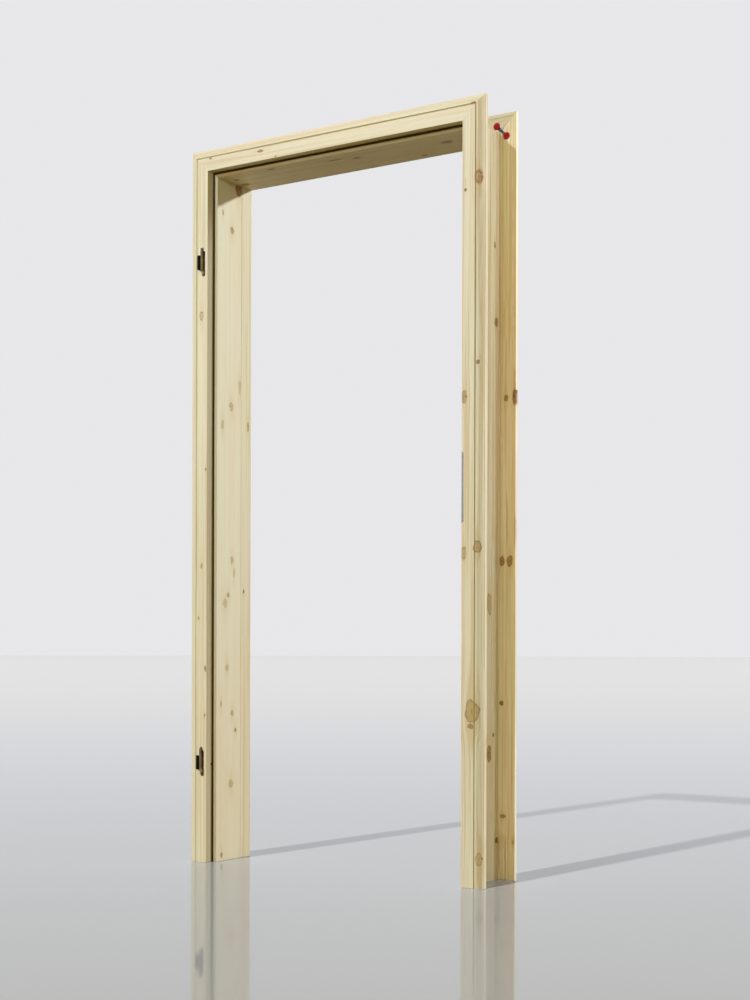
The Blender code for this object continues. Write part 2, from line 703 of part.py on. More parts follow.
def countersunk_screw(name, radius, head_radius, length, margin=0.0):
    """Screw along -Z with its flat head at Z = 0, or the room for it when a margin is given."""
    head = head_radius + margin
    shank = radius + margin
    cone = head_radius - radius
    tip = radius * SCREW_TIP
    profile = [(0, -length - margin), (shank, tip - length), (shank, -cone), (head, -margin)]
    if margin:
        profile.append((head, CUT_MARGIN))
    else:
        profile[-1] = (head, 0.0)
    return lathe(name, profile, SMALL_SEGMENTS)


def receiver_screw(name, height, margin=0.0):
    """One screw of the hinge receiver, driven straight back."""
    screw = countersunk_screw(
        name, RECEIVER_SCREW_RADIUS, RECEIVER_SCREW_HEAD_RADIUS, RECEIVER_SCREW_LENGTH, margin
    )
    point = spot(SIDES["left"], RECEIVER_OUT, RECEIVER_DEEP, height)
    return aim(screw, point, (0, -1, 0), (1, 0, 0))


def receiver_screw_heights(height):
    """Heights of the two screws of one receiver."""
    middle = height + HINGE_POCKET_SHIFT
    return [middle - RECEIVER_SCREW_SPACING / 2, middle + RECEIVER_SCREW_SPACING / 2]


def hinge_receiver(name, height):
    """Block at the bottom of the pocket that clamps the leaf."""
    middle = height + HINGE_POCKET_SHIFT
    low = (HINGE_POCKET_OUT + GAP, middle - RECEIVER_HEIGHT / 2)
    high = (LEAF_OUT - GAP, middle + RECEIVER_HEIGHT / 2)
    outline = rounded_rectangle(low, high, RECEIVER_CORNER, 2)
    end = HINGE_POCKET_DEPTH - GAP
    receiver = prism(name, outline, RECEIVER_DEEP, end, on_front(SIDES["left"]))
    carve(receiver, [receiver_screw("room", z, GAP) for z in receiver_screw_heights(height)])
    finish(receiver, BRIGHT_STEEL)
    return receiver


def strike_flange_outline(margin):
    """Outline of the strike plate on the rebate wall, as (deep, height)."""
    half = STRIKE_HEIGHT / 2 + margin
    depth = STRIKE_FLANGE + margin
    radius = STRIKE_CORNER + margin
    start = -CUT_MARGIN if margin else 0.0
    outline = [(start, STRIKE_CENTRE - half)]
    outline += arc((depth - radius, STRIKE_CENTRE - half + radius), radius, -90, 0)
    outline += arc((depth - radius, STRIKE_CENTRE + half - radius), radius, 0, 90)
    outline.append((start, STRIKE_CENTRE + half))
    return outline


def strike_lip_outline(margin):
    """Outline of the lip on the casing face, as (out, height), with slanted ends."""
    half = STRIKE_HEIGHT / 2 + margin
    width = STRIKE_LIP + margin
    outline = [
        (0.0, STRIKE_CENTRE - half),
        (width, STRIKE_CENTRE - half + STRIKE_LIP_SLANT),
        (width, STRIKE_CENTRE + half - STRIKE_LIP_SLANT),
        (0.0, STRIKE_CENTRE + half),
    ]
    if margin:
        outline += [(-CUT_MARGIN, STRIKE_CENTRE + half), (-CUT_MARGIN, STRIKE_CENTRE - half)]
    return outline


def strike_solid(name, margin=0.0):
    """The bent plate, or with a margin the recess for it."""
    side = SIDES["right"]
    start = -CUT_MARGIN if margin else 0.0
    end = STRIKE_THICKNESS + margin
    flange = prism(name, strike_flange_outline(margin), start, end, on_rebate(side))
    lip = prism("lip", strike_lip_outline(margin), start, end, on_front(side))
    return fuse(flange, [lip])


def strike_screw(name, shift, margin=0.0):
    """One screw of the strike plate, driven outwards into the casing."""
    screw = countersunk_screw(
        name, STRIKE_SCREW_RADIUS, STRIKE_SCREW_HEAD_RADIUS, STRIKE_SCREW_LENGTH, margin
    )
    deep = (STRIKE_HOLE_DEEP[0] + STRIKE_HOLE_DEEP[1]) / 2
    point = spot(SIDES["right"], 0.0, deep, STRIKE_CENTRE + shift)
    return aim(screw, point, (-SIDES["right"], 0, 0), (0, 0, 1))


def strike_openings(margin, depths):
    """Cutters for the latch and the deadbolt, each to its own depth."""
    cutters = []
    shapes = ((LATCH_SHIFT, LATCH_HEIGHT, depths[0]), (DEADBOLT_SHIFT, DEADBOLT_HEIGHT, depths[1]))
    for shift, height, depth in shapes:
        middle = STRIKE_CENTRE + shift
        low = (STRIKE_HOLE_DEEP[0] - margin, middle - height / 2 - margin)
        high = (STRIKE_HOLE_DEEP[1] + margin, middle + height / 2 + margin)
        outline = rounded_rectangle(low, high, STRIKE_HOLE_CORNER, 2)
        cutters.append(prism("opening", outline, -CUT_MARGIN, depth, on_rebate(SIDES["right"])))
    return cutters


def make_strike():
    """Strike plate and its screws."""
    plate = strike_solid("strike_plate")
    through = STRIKE_THICKNESS + CUT_MARGIN
    cutters = strike_openings(0.0, (through, through))
    cutters += [strike_screw("room", shift, GAP) for shift in STRIKE_SCREW_SHIFTS]
    carve(plate, cutters)
    finish(plate, STRIKE_STEEL)
    for number, shift in enumerate(STRIKE_SCREW_SHIFTS, 1):
        finish(strike_screw(f"strike_screw_{number}", shift), SCREW_STEEL)


def make_hinges():
    """Both hinge halves with their receivers and screws."""
    for which, height in HINGE_HEIGHTS.items():
        hinge_leaf(f"hinge_{which}_leaf", height)
        hinge_sleeve(f"hinge_{which}_sleeve", height)
        hinge_receiver(f"hinge_{which}_receiver", height)
        for number, screw_height in enumerate(receiver_screw_heights(height), 1):
            finish(receiver_screw(f"hinge_{which}_screw_{number}", screw_height), SCREW_STEEL)


def make_dowels(prefix, places, radius, length):
    """All dowels of one kind; places holds (corner side, out, deep)."""
    for number, (side, out, deep) in enumerate(places, 1):
        finish(place_dowel(f"{prefix}_{number}", side, out, deep, radius, length), DOWEL_WOOD)


def dowel_holes(places, radius, length):
    """Cutters for a list of dowels."""
    return [place_dowel("hole", side, out, deep, radius, length, GAP) for side, out, deep in places]


def main():
    clear_scene()
    lining_dowels = []
    front_dowels = []
    rear_dowels = []
    for corner_side in SIDES.values():
        for deep in LINING_DOWEL_DEEP:
            lining_dowels.append((corner_side, LINING_MIDDLE, deep))
        front_dowels.append((corner_side, CASING_DOWEL_OUT, CASING_DOWEL_DEEP))
        rear_dowels.append((corner_side, CASING_DOWEL_OUT, (REAR_WALL_FACE + REAR_FACE) / 2))

    slider = bpy.data.objects.new("rear_casing", None)
    slider.location = (0, FRONT_Y + REAR_FACE, 0)
    bpy.context.scene.collection.objects.link(slider)

    for place in ("left", "right", "head"):
        corners = [side for name, side in SIDES.items() if place in (name, "head")]

        front = mitred_bar(f"front_casing_{place}", front_casing_section(), place)
        cutters = []
        for corner_side in corners:
            cutters.append(connector_cutter(corner_side, *CONNECTORS["front"]))
        holes = [hole for hole in front_dowels if hole[0] in corners]
        cutters += dowel_holes(holes, CASING_DOWEL_RADIUS, CASING_DOWEL_LENGTH)
        if place == "left":
            for height in HINGE_HEIGHTS.values():
                cutters += hinge_cutters(height)
                cutters += [receiver_screw("room", z, GAP) for z in receiver_screw_heights(height)]
        if place == "right":
            cutters.append(strike_solid("recess", GAP))
            cutters += strike_openings(GAP, (LATCH_POCKET, DEADBOLT_POCKET))
            cutters += [strike_screw("room", shift, GAP) for shift in STRIKE_SCREW_SHIFTS]
        carve(front, cutters)
        finish(front, PINE)

        lining = mitred_bar(f"lining_{place}", lining_section(), place)
        holes = [hole for hole in lining_dowels if hole[0] in corners]
        carve(lining, dowel_holes(holes, LINING_DOWEL_RADIUS, LINING_DOWEL_LENGTH))
        finish(lining, PINE)

        rear = mitred_bar(f"rear_casing_{place}", rear_casing_section(), place)
        cutters = []
        for corner_side in corners:
            cutters.append(connector_cutter(corner_side, *CONNECTORS["rear"]))
        holes = [hole for hole in rear_dowels if hole[0] in corners]
        cutters += dowel_holes(holes, CASING_DOWEL_RADIUS, CASING_DOWEL_LENGTH)
        carve(rear, cutters)
        finish(rear, PINE)
        rear.parent = slider
        rear.matrix_parent_inverse = Matrix.Translation(-slider.location)

        seal = mitred_bar(f"seal_{place}", seal_section(), place)
        finish(seal, SEAL_RUBBER)

    pattern = cam_shape("cam_pattern")
    for prefix, faces in CONNECTORS.items():
        for corner_name, corner_side in SIDES.items():
            corner_bolt(f"{prefix}_bolt_{corner_name}", corner_side, *faces)
            place_cams(prefix, corner_name, corner_side, *faces, pattern)
    bpy.data.objects.remove(pattern, do_unlink=True)

    make_dowels("lining_dowel", lining_dowels, LINING_DOWEL_RADIUS, LINING_DOWEL_LENGTH)
    make_dowels("front_casing_dowel", front_dowels, CASING_DOWEL_RADIUS, CASING_DOWEL_LENGTH)
    make_dowels("rear_casing_dowel", rear_dowels, CASING_DOWEL_RADIUS, CASING_DOWEL_LENGTH)
    make_hinges()
    make_strike()


main()
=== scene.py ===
import json
import math
from typing import NamedTuple

import bmesh
import bpy
from mathutils import Matrix, Vector


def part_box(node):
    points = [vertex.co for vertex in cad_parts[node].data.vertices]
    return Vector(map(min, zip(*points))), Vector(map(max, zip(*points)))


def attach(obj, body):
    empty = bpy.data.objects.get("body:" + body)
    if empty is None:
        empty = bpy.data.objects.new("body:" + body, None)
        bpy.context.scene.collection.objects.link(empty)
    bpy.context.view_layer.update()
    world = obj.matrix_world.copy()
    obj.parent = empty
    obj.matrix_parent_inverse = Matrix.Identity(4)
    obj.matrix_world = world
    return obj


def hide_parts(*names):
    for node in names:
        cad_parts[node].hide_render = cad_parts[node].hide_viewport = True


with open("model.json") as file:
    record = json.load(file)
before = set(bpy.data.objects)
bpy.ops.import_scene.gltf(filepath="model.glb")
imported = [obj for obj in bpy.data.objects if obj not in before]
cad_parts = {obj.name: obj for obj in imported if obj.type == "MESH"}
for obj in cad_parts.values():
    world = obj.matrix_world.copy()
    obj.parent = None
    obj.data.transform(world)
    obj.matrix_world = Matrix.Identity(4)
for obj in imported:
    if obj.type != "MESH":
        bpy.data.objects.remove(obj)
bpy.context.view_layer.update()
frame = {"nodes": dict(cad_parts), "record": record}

# Pine door frame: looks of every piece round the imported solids.
# Metres, +Z up, the moulded front faces -Y. Boards are described in board space: across the board (u),
# through its thickness or depth (v) and along its grain (w).

# Camera, measured from the photograph's corner points
CAMERA_PLACE = Vector((2.5166, -3.7335, 0.6401))
CAMERA_YAW = math.radians(32.943)
CAMERA_ROLL = math.radians(0.154)
CAMERA_FOCAL_PIXELS = 1623.45
PHOTO_HEIGHT_PIXELS = 1000
CAMERA_SHIFT_UP = 0.1398
CAMERA_FAR = 200.0
SENSOR_SIDE = 36.0

# Opening that the seal runs round, and the section of the seal as across the stop and deep
FRONT_Y = -0.0894
REBATE_WIDTH = 0.841
REBATE_HEIGHT = 1.983
MITRE_GAP = 0.00021
SEAL_SEAT = FRONT_Y + 0.0255
SEAL_MIDDLE = -0.0033
SEAL_HALF_WIDTH = 0.0030
SEAL_HEIGHT = 0.0022
SEAL_CROWN_STEPS = 16
SEAL_RIB_DEPTH = 0.05
SEAL_FOOT_MIDDLE = -0.0031
SEAL_FOOT_THIN = 0.0008
SEAL_FOOT_WIDE = 0.0013
SEAL_FOOT_DEPTH = 0.0078
SEAL_BARBS = 3
SEAL_BARB_PLACE = 0.6
SEAL_BARB_RUN = 0.0007

# Merging and smoothing of the copied solids
MERGE_DISTANCE = 1e-6
SMOOTH_ANGLE = math.radians(35)


class Knot(NamedTuple):
    """A knot; through is the axis it runs along, across and along are its place on the faces it meets."""

    through: str
    across: float
    along: float
    radius: float
    stretch: float = 1.3
    dark: float = 0.5
    outline: float = 0.7
    red: float = 0.0


class Streak(NamedTuple):
    """A crack or a stain that follows the grain."""

    through: str
    across: float
    along: float
    half_length: float
    half_width: float


class Board(NamedTuple):
    """How one board was sawn: the log's pith, its ring width and tone, and what grew or was cut in it."""

    pith: tuple
    ring: float
    seed: float
    warmth: float
    tone: tuple = (1.0, 1.0, 1.0)
    quirk: float = 0.0
    knots: tuple = ()
    cracks: tuple = ()
    stains: tuple = ()
    pockets: tuple = ()
    figure: float = 1.0


BOARDS = {
    "front_casing_left": Board(
        pith=(-0.520, 0.030), ring=0.0026, seed=3.1, warmth=0.2, tone=(1.04, 1.07, 1.10), quirk=-0.4595,
        knots=(
            Knot("y", -0.4421, 1.5695, 0.0062, 2.0, 0.15, 1.0),
            Knot("y", -0.4255, 1.128, 0.0026, 1.4, 0.7),
            Knot("y", -0.4395, 0.8508, 0.0034, 2.6, 0.35, 0.3),
            Knot("y", -0.45, 0.701, 0.003, 1.4, 0.4),
            Knot("y", -0.425, 0.556, 0.0028, 2.6, 0.6, 0.6, 0.9),
            Knot("y", -0.427, 0.423, 0.003, 1.4, 0.4, 0.3),
            Knot("x", -0.0658, 0.2811, 0.003, 1.4, 1.0),
        ),
        pockets=(Streak("y", -0.4345, 1.719, 0.1, 0.0084), Streak("y", -0.4345, 0.284, 0.1, 0.0084)),
    ),
    "front_casing_right": Board(
        pith=(0.360, 0.050), ring=0.0024, seed=7.7, warmth=0.45, tone=(0.96, 0.96, 0.95), quirk=0.4595,
        figure=1.5,
        knots=(
            Knot("y", 0.4295, 1.803, 0.0038, 1.1, 0.95),
            Knot("y", 0.4672, 1.832, 0.0088, 1.7, 0.35, 0.5, 0.9),
            Knot("y", 0.4665, 1.356, 0.0042, 1.3, 0.75),
            Knot("y", 0.427, 1.268, 0.0078, 2.0, 0.35, 0.6),
            Knot("y", 0.4335, 1.269, 0.0026, 1.1, 1.0),
            Knot("y", 0.4272, 0.864, 0.0072, 2.3, 0.25, 0.45, 0.2),
            Knot("y", 0.466, 0.879, 0.009, 1.75, 0.3, 0.9),
            Knot("y", 0.453, 0.456, 0.019, 1.5, 0.3, 0.55),
            Knot("y", 0.449, 0.418, 0.009, 0.8, 0.5, 0.7),
            Knot("y", 0.472, 0.075, 0.008, 2.1, 0.15, 0.4),
            Knot("y", 0.479, 0.078, 0.0024, 1.0, 1.0),
        ),
        stains=(Streak("y", 0.4295, 1.824, 0.016, 0.0012),),
    ),
    "front_casing_head": Board(
        pith=(2.120, 0.020), ring=0.0027, seed=1.9, warmth=0.3, quirk=2.0220,
        knots=(
            Knot("y", 2.01, -0.2323, 0.0038, 2.6, 0.8),
            Knot("y", 2.018, -0.4105, 0.0032, 1.4, 0.8),
            Knot("y", 1.987, -0.1793, 0.0022, 1.2, 0.8),
            Knot("y", 2.024, 0.452, 0.0036, 2.4, 0.8, 0.8),
        ),
    ),
    "lining_left": Board(
        pith=(-0.500, 0.120), ring=0.0029, seed=5.3, warmth=0.3, tone=(1.0, 1.0, 1.02), figure=0.25,
        knots=(
            Knot("x", -0.0375, 1.8732, 0.004, 2.0, 0.3, 0.4),
            Knot("x", 0.0047, 1.8305, 0.008, 1.3, 0.35, 0.5),
            Knot("x", 0.0374, 1.9572, 0.013, 1.4, 0.5, 0.6, 0.9),
            Knot("x", 0.004, 1.318, 0.0095, 1.35, 0.2, 0.3),
            Knot("x", -0.0377, 1.261, 0.006, 2.0, 0.15, 0.4),
            Knot("x", 0.044, 1.38, 0.007, 2.6, 0.1, 0.2),
            Knot("x", 0.0089, 0.8714, 0.006, 1.8, 0.2, 0.5),
            Knot("x", 0.0185, 0.8345, 0.004, 3.0, 0.15, 0.2),
            Knot("x", -0.0094, 0.769, 0.0065, 1.3, 0.3, 0.3),
            Knot("x", -0.0234, 0.7455, 0.01, 1.3, 0.12, 0.2),
            Knot("x", -0.0132, 0.5571, 0.007, 1.3, 0.15, 0.4),
            Knot("x", -0.0407, 0.4535, 0.004, 2.0, 0.3, 0.4),
            Knot("x", 0.0109, 0.4256, 0.0065, 1.3, 0.25, 0.4),
            Knot("x", 0.0262, 0.3754, 0.0045, 1.3, 0.6),
            Knot("x", 0.006, 0.22, 0.01, 1.2, 0.2, 0.3),
            Knot("x", -0.0365, 0.0169, 0.005, 1.5, 0.5),
            Knot("y", -0.399, 0.4946, 0.003, 1.5, 0.9),
        ),
    ),
    "lining_right": Board(
        pith=(0.500, -0.140), ring=0.0027, seed=8.6, warmth=0.3, figure=1.3,
        knots=(
            Knot("x", 0.04, 0.7375, 0.015, 1.7, 0.25, 0.4),
            Knot("x", 0.04, 0.339, 0.014, 1.5, 0.6),
            Knot("x", -0.02, 1.52, 0.007, 1.3, 0.5),
            Knot("x", -0.005, 1.05, 0.005, 1.3, 0.4),
        ),
        cracks=(Streak("x", 0.047, 0.02, 0.017, 0.0004),),
        stains=(Streak("x", 0.03, 1.42, 0.5, 0.0025), Streak("x", 0.04, 1.76, 0.18, 0.002)),
    ),
    "lining_head": Board(
        pith=(2.080, 0.060), ring=0.0030, seed=2.4, warmth=0.5,
        knots=(
            Knot("z", -0.0146, -0.3733, 0.006, 1.5, 0.9),
            Knot("z", 0.038, -0.38, 0.011, 1.3, 0.6),
            Knot("z", -0.048, -0.2267, 0.005, 2.4, 0.6),
            Knot("z", -0.0239, -0.0232, 0.0045, 5.0, 0.45),
            Knot("z", -0.0083, 0.0362, 0.006, 2.0, 0.8),
            Knot("z", 0.0021, 0.3206, 0.011, 1.6, 0.6),
        ),
    ),
    "rear_casing_left": Board(
        pith=(-0.360, 0.010), ring=0.0026, seed=4.2, warmth=0.35,
        knots=(
            Knot("x", 0.0837, 1.2672, 0.0045, 3.0, 0.3),
            Knot("x", 0.0646, 0.7805, 0.0035, 1.5, 1.0),
            Knot("y", -0.45, 1.54, 0.006, 1.4, 0.6),
            Knot("y", -0.43, 0.62, 0.008, 1.3, 0.5),
            Knot("y", -0.46, 0.25, 0.005, 1.4, 0.7),
        ),
    ),
    "rear_casing_right": Board(
        pith=(0.520, 0.000), ring=0.0025, seed=9.9, warmth=0.55, figure=1.6,
        knots=(
            Knot("x", 0.064, 1.6913, 0.004, 2.2, 0.7),
            Knot("x", 0.072, 1.487, 0.0095, 1.2, 0.7),
            Knot("x", 0.063, 0.3877, 0.0045, 1.3, 0.9),
            Knot("y", 0.4535, 1.286, 0.0062, 1.5, 0.6),
            Knot("y", 0.48, 1.287, 0.0056, 3.2, 0.9, 0.9, 1.0),
            Knot("y", 0.443, 0.851, 0.0072, 1.9, 0.6, 0.8),
            Knot("y", 0.4663, 0.851, 0.0085, 1.9, 0.6, 0.9),
            Knot("y", 0.442, 0.472, 0.0065, 1.0, 0.9),
            Knot("y", 0.447, 0.17, 0.01, 0.5, 0.5),
            Knot("x", 0.081, 0.105, 0.008, 1.0, 1.0),
        ),
        cracks=(
            Streak("y", 0.4358, 0.072, 0.069, 0.0007),
            Streak("y", 0.4545, 0.04, 0.09, 0.0008),
        ),
        stains=(
            Streak("y", 0.48, 1.335, 0.04, 0.003), Streak("y", 0.457, 0.96, 0.09, 0.0025),
            # The long stain at 0.436 runs beside the inner corner of the recess: painted shade in that corner
            Streak("y", 0.4812, 0.93, 0.06, 0.0024), Streak("y", 0.436, 1.25, 0.7, 0.002),
        ),
    ),
    "rear_casing_head": Board(
        pith=(1.940, 0.040), ring=0.0027, seed=6.5, warmth=0.4,
        knots=(
            Knot("y", 2.015, 0.12, 0.006, 1.5, 0.5),
            Knot("y", 2.03, -0.26, 0.005, 1.6, 0.6),
            Knot("z", 0.07, 0.21, 0.006, 1.6, 0.5),
        ),
    ),
}


class Lamp(NamedTuple):
    """A lamp; its spread softens its shadows, in degrees, and without an aim it stands far away."""

    comes_from: tuple
    power: float
    color: tuple = (0.965, 0.995, 1.06)
    spread: float = 1.5
    aim: tuple = ()
    distance: float = 0.0
    lit: str = "off_floor"
    mirrored: bool = True


LAMPS = {
    "key": Lamp((-0.75, -1.0, 0.8), 1.6),
    "floor": Lamp((-0.12, -1.0, 0.8), 2.7, lit="floor_only"),
    "right": Lamp((0.36, -1.0, 0.1), 0.65, (1.0, 0.93, 0.76), 25.0),
    "warm": Lamp((0.36, -1.0, 0.1), 0.50, (1.0, 0.74, 0.34), 25.0, lit="recess"),
    "across": Lamp((1.0, 0.4, 0.35), 0.8, spread=14.0, lit="off_floor_and_inside"),
    "front": Lamp(
        (0.05, -1.0, 0.3), 0.84, spread=3.0, aim=(0.0, -0.09, 1.5), distance=5.0, lit="off_floor_and_back"
    ),
    "behind": Lamp(
        (1.2, 1.0, 0.535), 3.1, spread=3.0, aim=(-0.4, 0.0, 1.9), distance=10.0, lit="off_floor_and_recess",
        mirrored=False,
    ),
    "side": Lamp(
        (1.0, 0.04, 0.33), 1.2, spread=12.0, aim=(0.4325, 0.05, 1.75), distance=1.5, lit="recess",
        mirrored=False,
    ),
}

# What the lamps light, or leave out
LIT_THINGS = {
    "off_floor": ("EXCLUDE", "floor"),
    "off_floor_and_back": (
        "EXCLUDE", "floor", "lining_head", "rear_casing_head", "rear_casing_left", "rear_casing_right"
    ),
    "floor_only": ("INCLUDE", "floor"),
    "recess": ("INCLUDE", "lining_right", "rear_casing_right"),
    "off_floor_and_inside": ("EXCLUDE", "floor", "lining_left", "lining_head", "rear_casing_left"),
    "off_floor_and_recess": ("EXCLUDE", "floor", "lining_right", "front_casing_left"),
}

# Surroundings and floor: linear colours, and where the near colour of the floor fades to the far one
STUDIO_PALE = (0.80, 0.80, 0.82, 1)
STUDIO_FILL = (0.220, 0.150, 0.004, 1)
FLOOR_NEAR = (0.530, 0.520, 0.480, 1)
FLOOR_FAR = (0.700, 0.712, 0.735, 1)
FLOOR_SHADE = (0.0, 0.028, 0.075, 1)
UNLIT = (0.0, 0.0, 0.0, 1)
FLOOR_FADE = (1.0, 14.0)
FLOOR_RADIUS = 60.0
FLOOR_DROP = 0.0005

# Pine colours, linear
EARLY_WOOD = (0.79, 0.755, 0.60, 1)
LATE_WOOD = (0.63, 0.515, 0.31, 1)
WARM_WOOD = (0.745, 0.635, 0.43, 1)
COOL_WOOD = (0.74, 0.735, 0.56, 1)
GREEN_STREAK = (0.66, 0.66, 0.40, 1)
ROSE_STREAK = (0.78, 0.62, 0.46, 1)
HALO_WOOD = (0.60, 0.49, 0.245, 1)
KNOT_WOOD = (0.270, 0.140, 0.040, 1)
KNOT_PALE = (0.56, 0.405, 0.135, 1)
KNOT_RIM = (0.110, 0.055, 0.017, 1)
STAIN_WOOD = (0.50, 0.26, 0.11, 1)
RED_WOOD = (0.36, 0.10, 0.045, 1)
CRACK_DARK = (0.05, 0.025, 0.010, 1)
# Painted shade for the groove beside the moulding and for the walls of the hinge pockets
QUIRK_PAINTED_SHADE = (0.60, 0.56, 0.30, 1)
POCKET_PAINTED_SHADE = (0.165, 0.092, 0.022, 1)

# How strongly each layer of the wood shows, and the stretch of its noise over which it comes in
TINT_RANGE = (0.35, 0.68)
GREEN_RANGE = (0.50, 0.36)
ROSE_RANGE = (0.50, 0.64)
DARK_RANGE = (0.50, 0.66)
PALE_RANGE = (0.48, 0.34)
HUE_STRENGTH = 0.45
LATE_STRENGTH = 0.42
STREAK_STRENGTH = 0.6
RESIN_STRENGTH = 0.35
HALO_STRENGTH = 0.38
STAIN_STRENGTH = 0.5
CRACK_DEPTH = 4.0

# Patterns in each metre of a board: across it, through it and along its grain
DRIFT_GRAIN = (2.0, 2.0, 0.55)
RIPPLE_GRAIN = (60.0, 60.0, 2.0)
FIBRE_GRAIN = (900.0, 900.0, 16.0)
TINT_GRAIN = (14.0, 14.0, 1.1)
STREAK_GRAIN = (150.0, 150.0, 1.7)
HUE_GRAIN = (110.0, 110.0, 1.2)
RESIN_GRAIN = (650.0, 650.0, 24.0)
RING_DRIFT = 0.055
RING_RIPPLE = 0.6
LATE_RISE = (0.35, 0.92)
LATE_FALL = (0.93, 1.0)
RESIN_RANGE = (0.70, 0.78)

# A knot in shares of its radius: how far it bends and darkens the grain, and its rings, rim and core
HALO_ALONG = 3.4
HALO_ACROSS = 1.5
BEND_STEEPNESS = 1.4
PUSH_REACH = 2.2
PUSH_CORE = 0.3
KNOT_PATTERN_SPREAD = 61.0
KNOT_PATTERN_SHIFT = (5.3, 2.1, 8.7)
KNOT_UNEVEN = 0.9
KNOT_RINGS = 3.6
KNOT_EDGE = (1.04, 0.86)
KNOT_COVER = (0.45, 0.92)
RUDDY_PLACE = 1.05
RUDDY_WIDTH = 0.30
RIM_PLACE = 0.94
RIM_WIDTH = 0.10
KNOT_CORE = (0.38, 0.08)
STREAK_WANDER = 0.004

# Hollows with painted shade, darker than the faces: how far below the front face each one begins and ends
QUIRK_HALF_WIDTH = 0.0019
QUIRK_BLUR = 0.0003
SUNK_RANGE = (FRONT_Y + 0.0002, FRONT_Y + 0.0010)
HINGE_POCKET_DEPTH = 0.016
POCKET_FLOOR = (FRONT_Y + HINGE_POCKET_DEPTH + 0.0012, FRONT_Y + HINGE_POCKET_DEPTH + 0.0006)
# Depth over which the hinge leaf takes its painted shade
LEAF_SHADE_RANGE = (FRONT_Y + 0.0020, FRONT_Y + 0.0080)

# Metal, plastic and beech
EVEN = (1.0, 1.0, 1.0)
BRUSHED = (1.0, 1.0, 0.05)
CLOUD_RANGE = (0.35, 0.7)
SOILED = 0.85
MARK_DEPTH = 0.0001
PLATED = (0.80, 0.78, 0.72, 1)
PLATED_DULL = (0.66, 0.63, 0.56, 1)
# Painted shade for the hinge leaf down in its pocket
LEAF_SHADE_COLOR = (0.085, 0.050, 0.022, 1)
BEECH = (0.62, 0.45, 0.27, 1)
BEECH_FLECK = (0.48, 0.31, 0.16, 1)


class Finish(NamedTuple):
    """Metal or plastic; drawn_out stretches its fine marks, and sheen is how strongly it mirrors light."""

    color: tuple
    rough: float
    metallic: float
    drawn_out: tuple = EVEN
    marks: float = 900.0
    sheen: float = 0.5


FINISHES = {
    "seal_rubber": Finish((0.070, 0.040, 0.006), 0.8, 0.0, (1.0, 1.0, 0.2), sheen=0.0),
    "blued_steel": Finish((0.11, 0.16, 0.28), 0.30, 0.9),
    "bright_steel": Finish((0.52, 0.50, 0.45), 0.34, 1.0, BRUSHED),
    "strike_steel": Finish((0.24, 0.24, 0.21), 0.42, 1.0, BRUSHED),
    "screw_steel": Finish((0.50, 0.42, 0.25), 0.36, 1.0),
    "black_plastic": Finish((0.005, 0.005, 0.003), 0.6, 0.0, marks=1500.0, sheen=0.06),
    "red_plastic": Finish((0.38, 0.004, 0.006), 0.5, 0.0, marks=1500.0, sheen=0.1),
    # The receiver's dark brown is painted shade for the hinge pocket it sits in
    "receiver_steel": Finish((0.14, 0.080, 0.022), 0.45, 0.7, (1.0, 1.0, 0.1)),
}

# Width of the eased edges, by the word in a node's name
EASED_EDGES = {"leaf": 0.0002, "receiver": 0.0002, "sleeve": 0.00012, "plate": 0.0002, "cam": 0.00015}
EASED_ANGLE = math.radians(50)

# Screws
RECEIVER_SCREW = {"Head Radius": 0.0037, "Shank Radius": 0.0020, "Length": 0.012}
STRIKE_SCREW = {"Head Radius": 0.0034, "Shank Radius": 0.0018, "Length": 0.018}
SCREW_POINT_RADIUS = 0.0001
THREAD_STEPS = 28
ROUND_SIDES = 32

# Kinds of node trees and of their sockets
SHADING = "ShaderNodeTree"
SHAPING = "GeometryNodeTree"
NUMBER = "NodeSocketFloat"
POINT = "NodeSocketVector"
COLOR = "NodeSocketColor"
SHAPE = (("Geometry", "NodeSocketGeometry"),)
WHOLE = "NodeSocketInt"
PLACED = (("Place", POINT), ("Turn", "NodeSocketRotation"), ("Finish", "NodeSocketMaterial"))
FEATURE_PLACE = (("Point", POINT), ("Centre", POINT), ("Runs Deep", NUMBER, 1.0))
KNOT_PLACE = (*FEATURE_PLACE, ("Radius", NUMBER, 0.005), ("Stretch", NUMBER, 1.3))


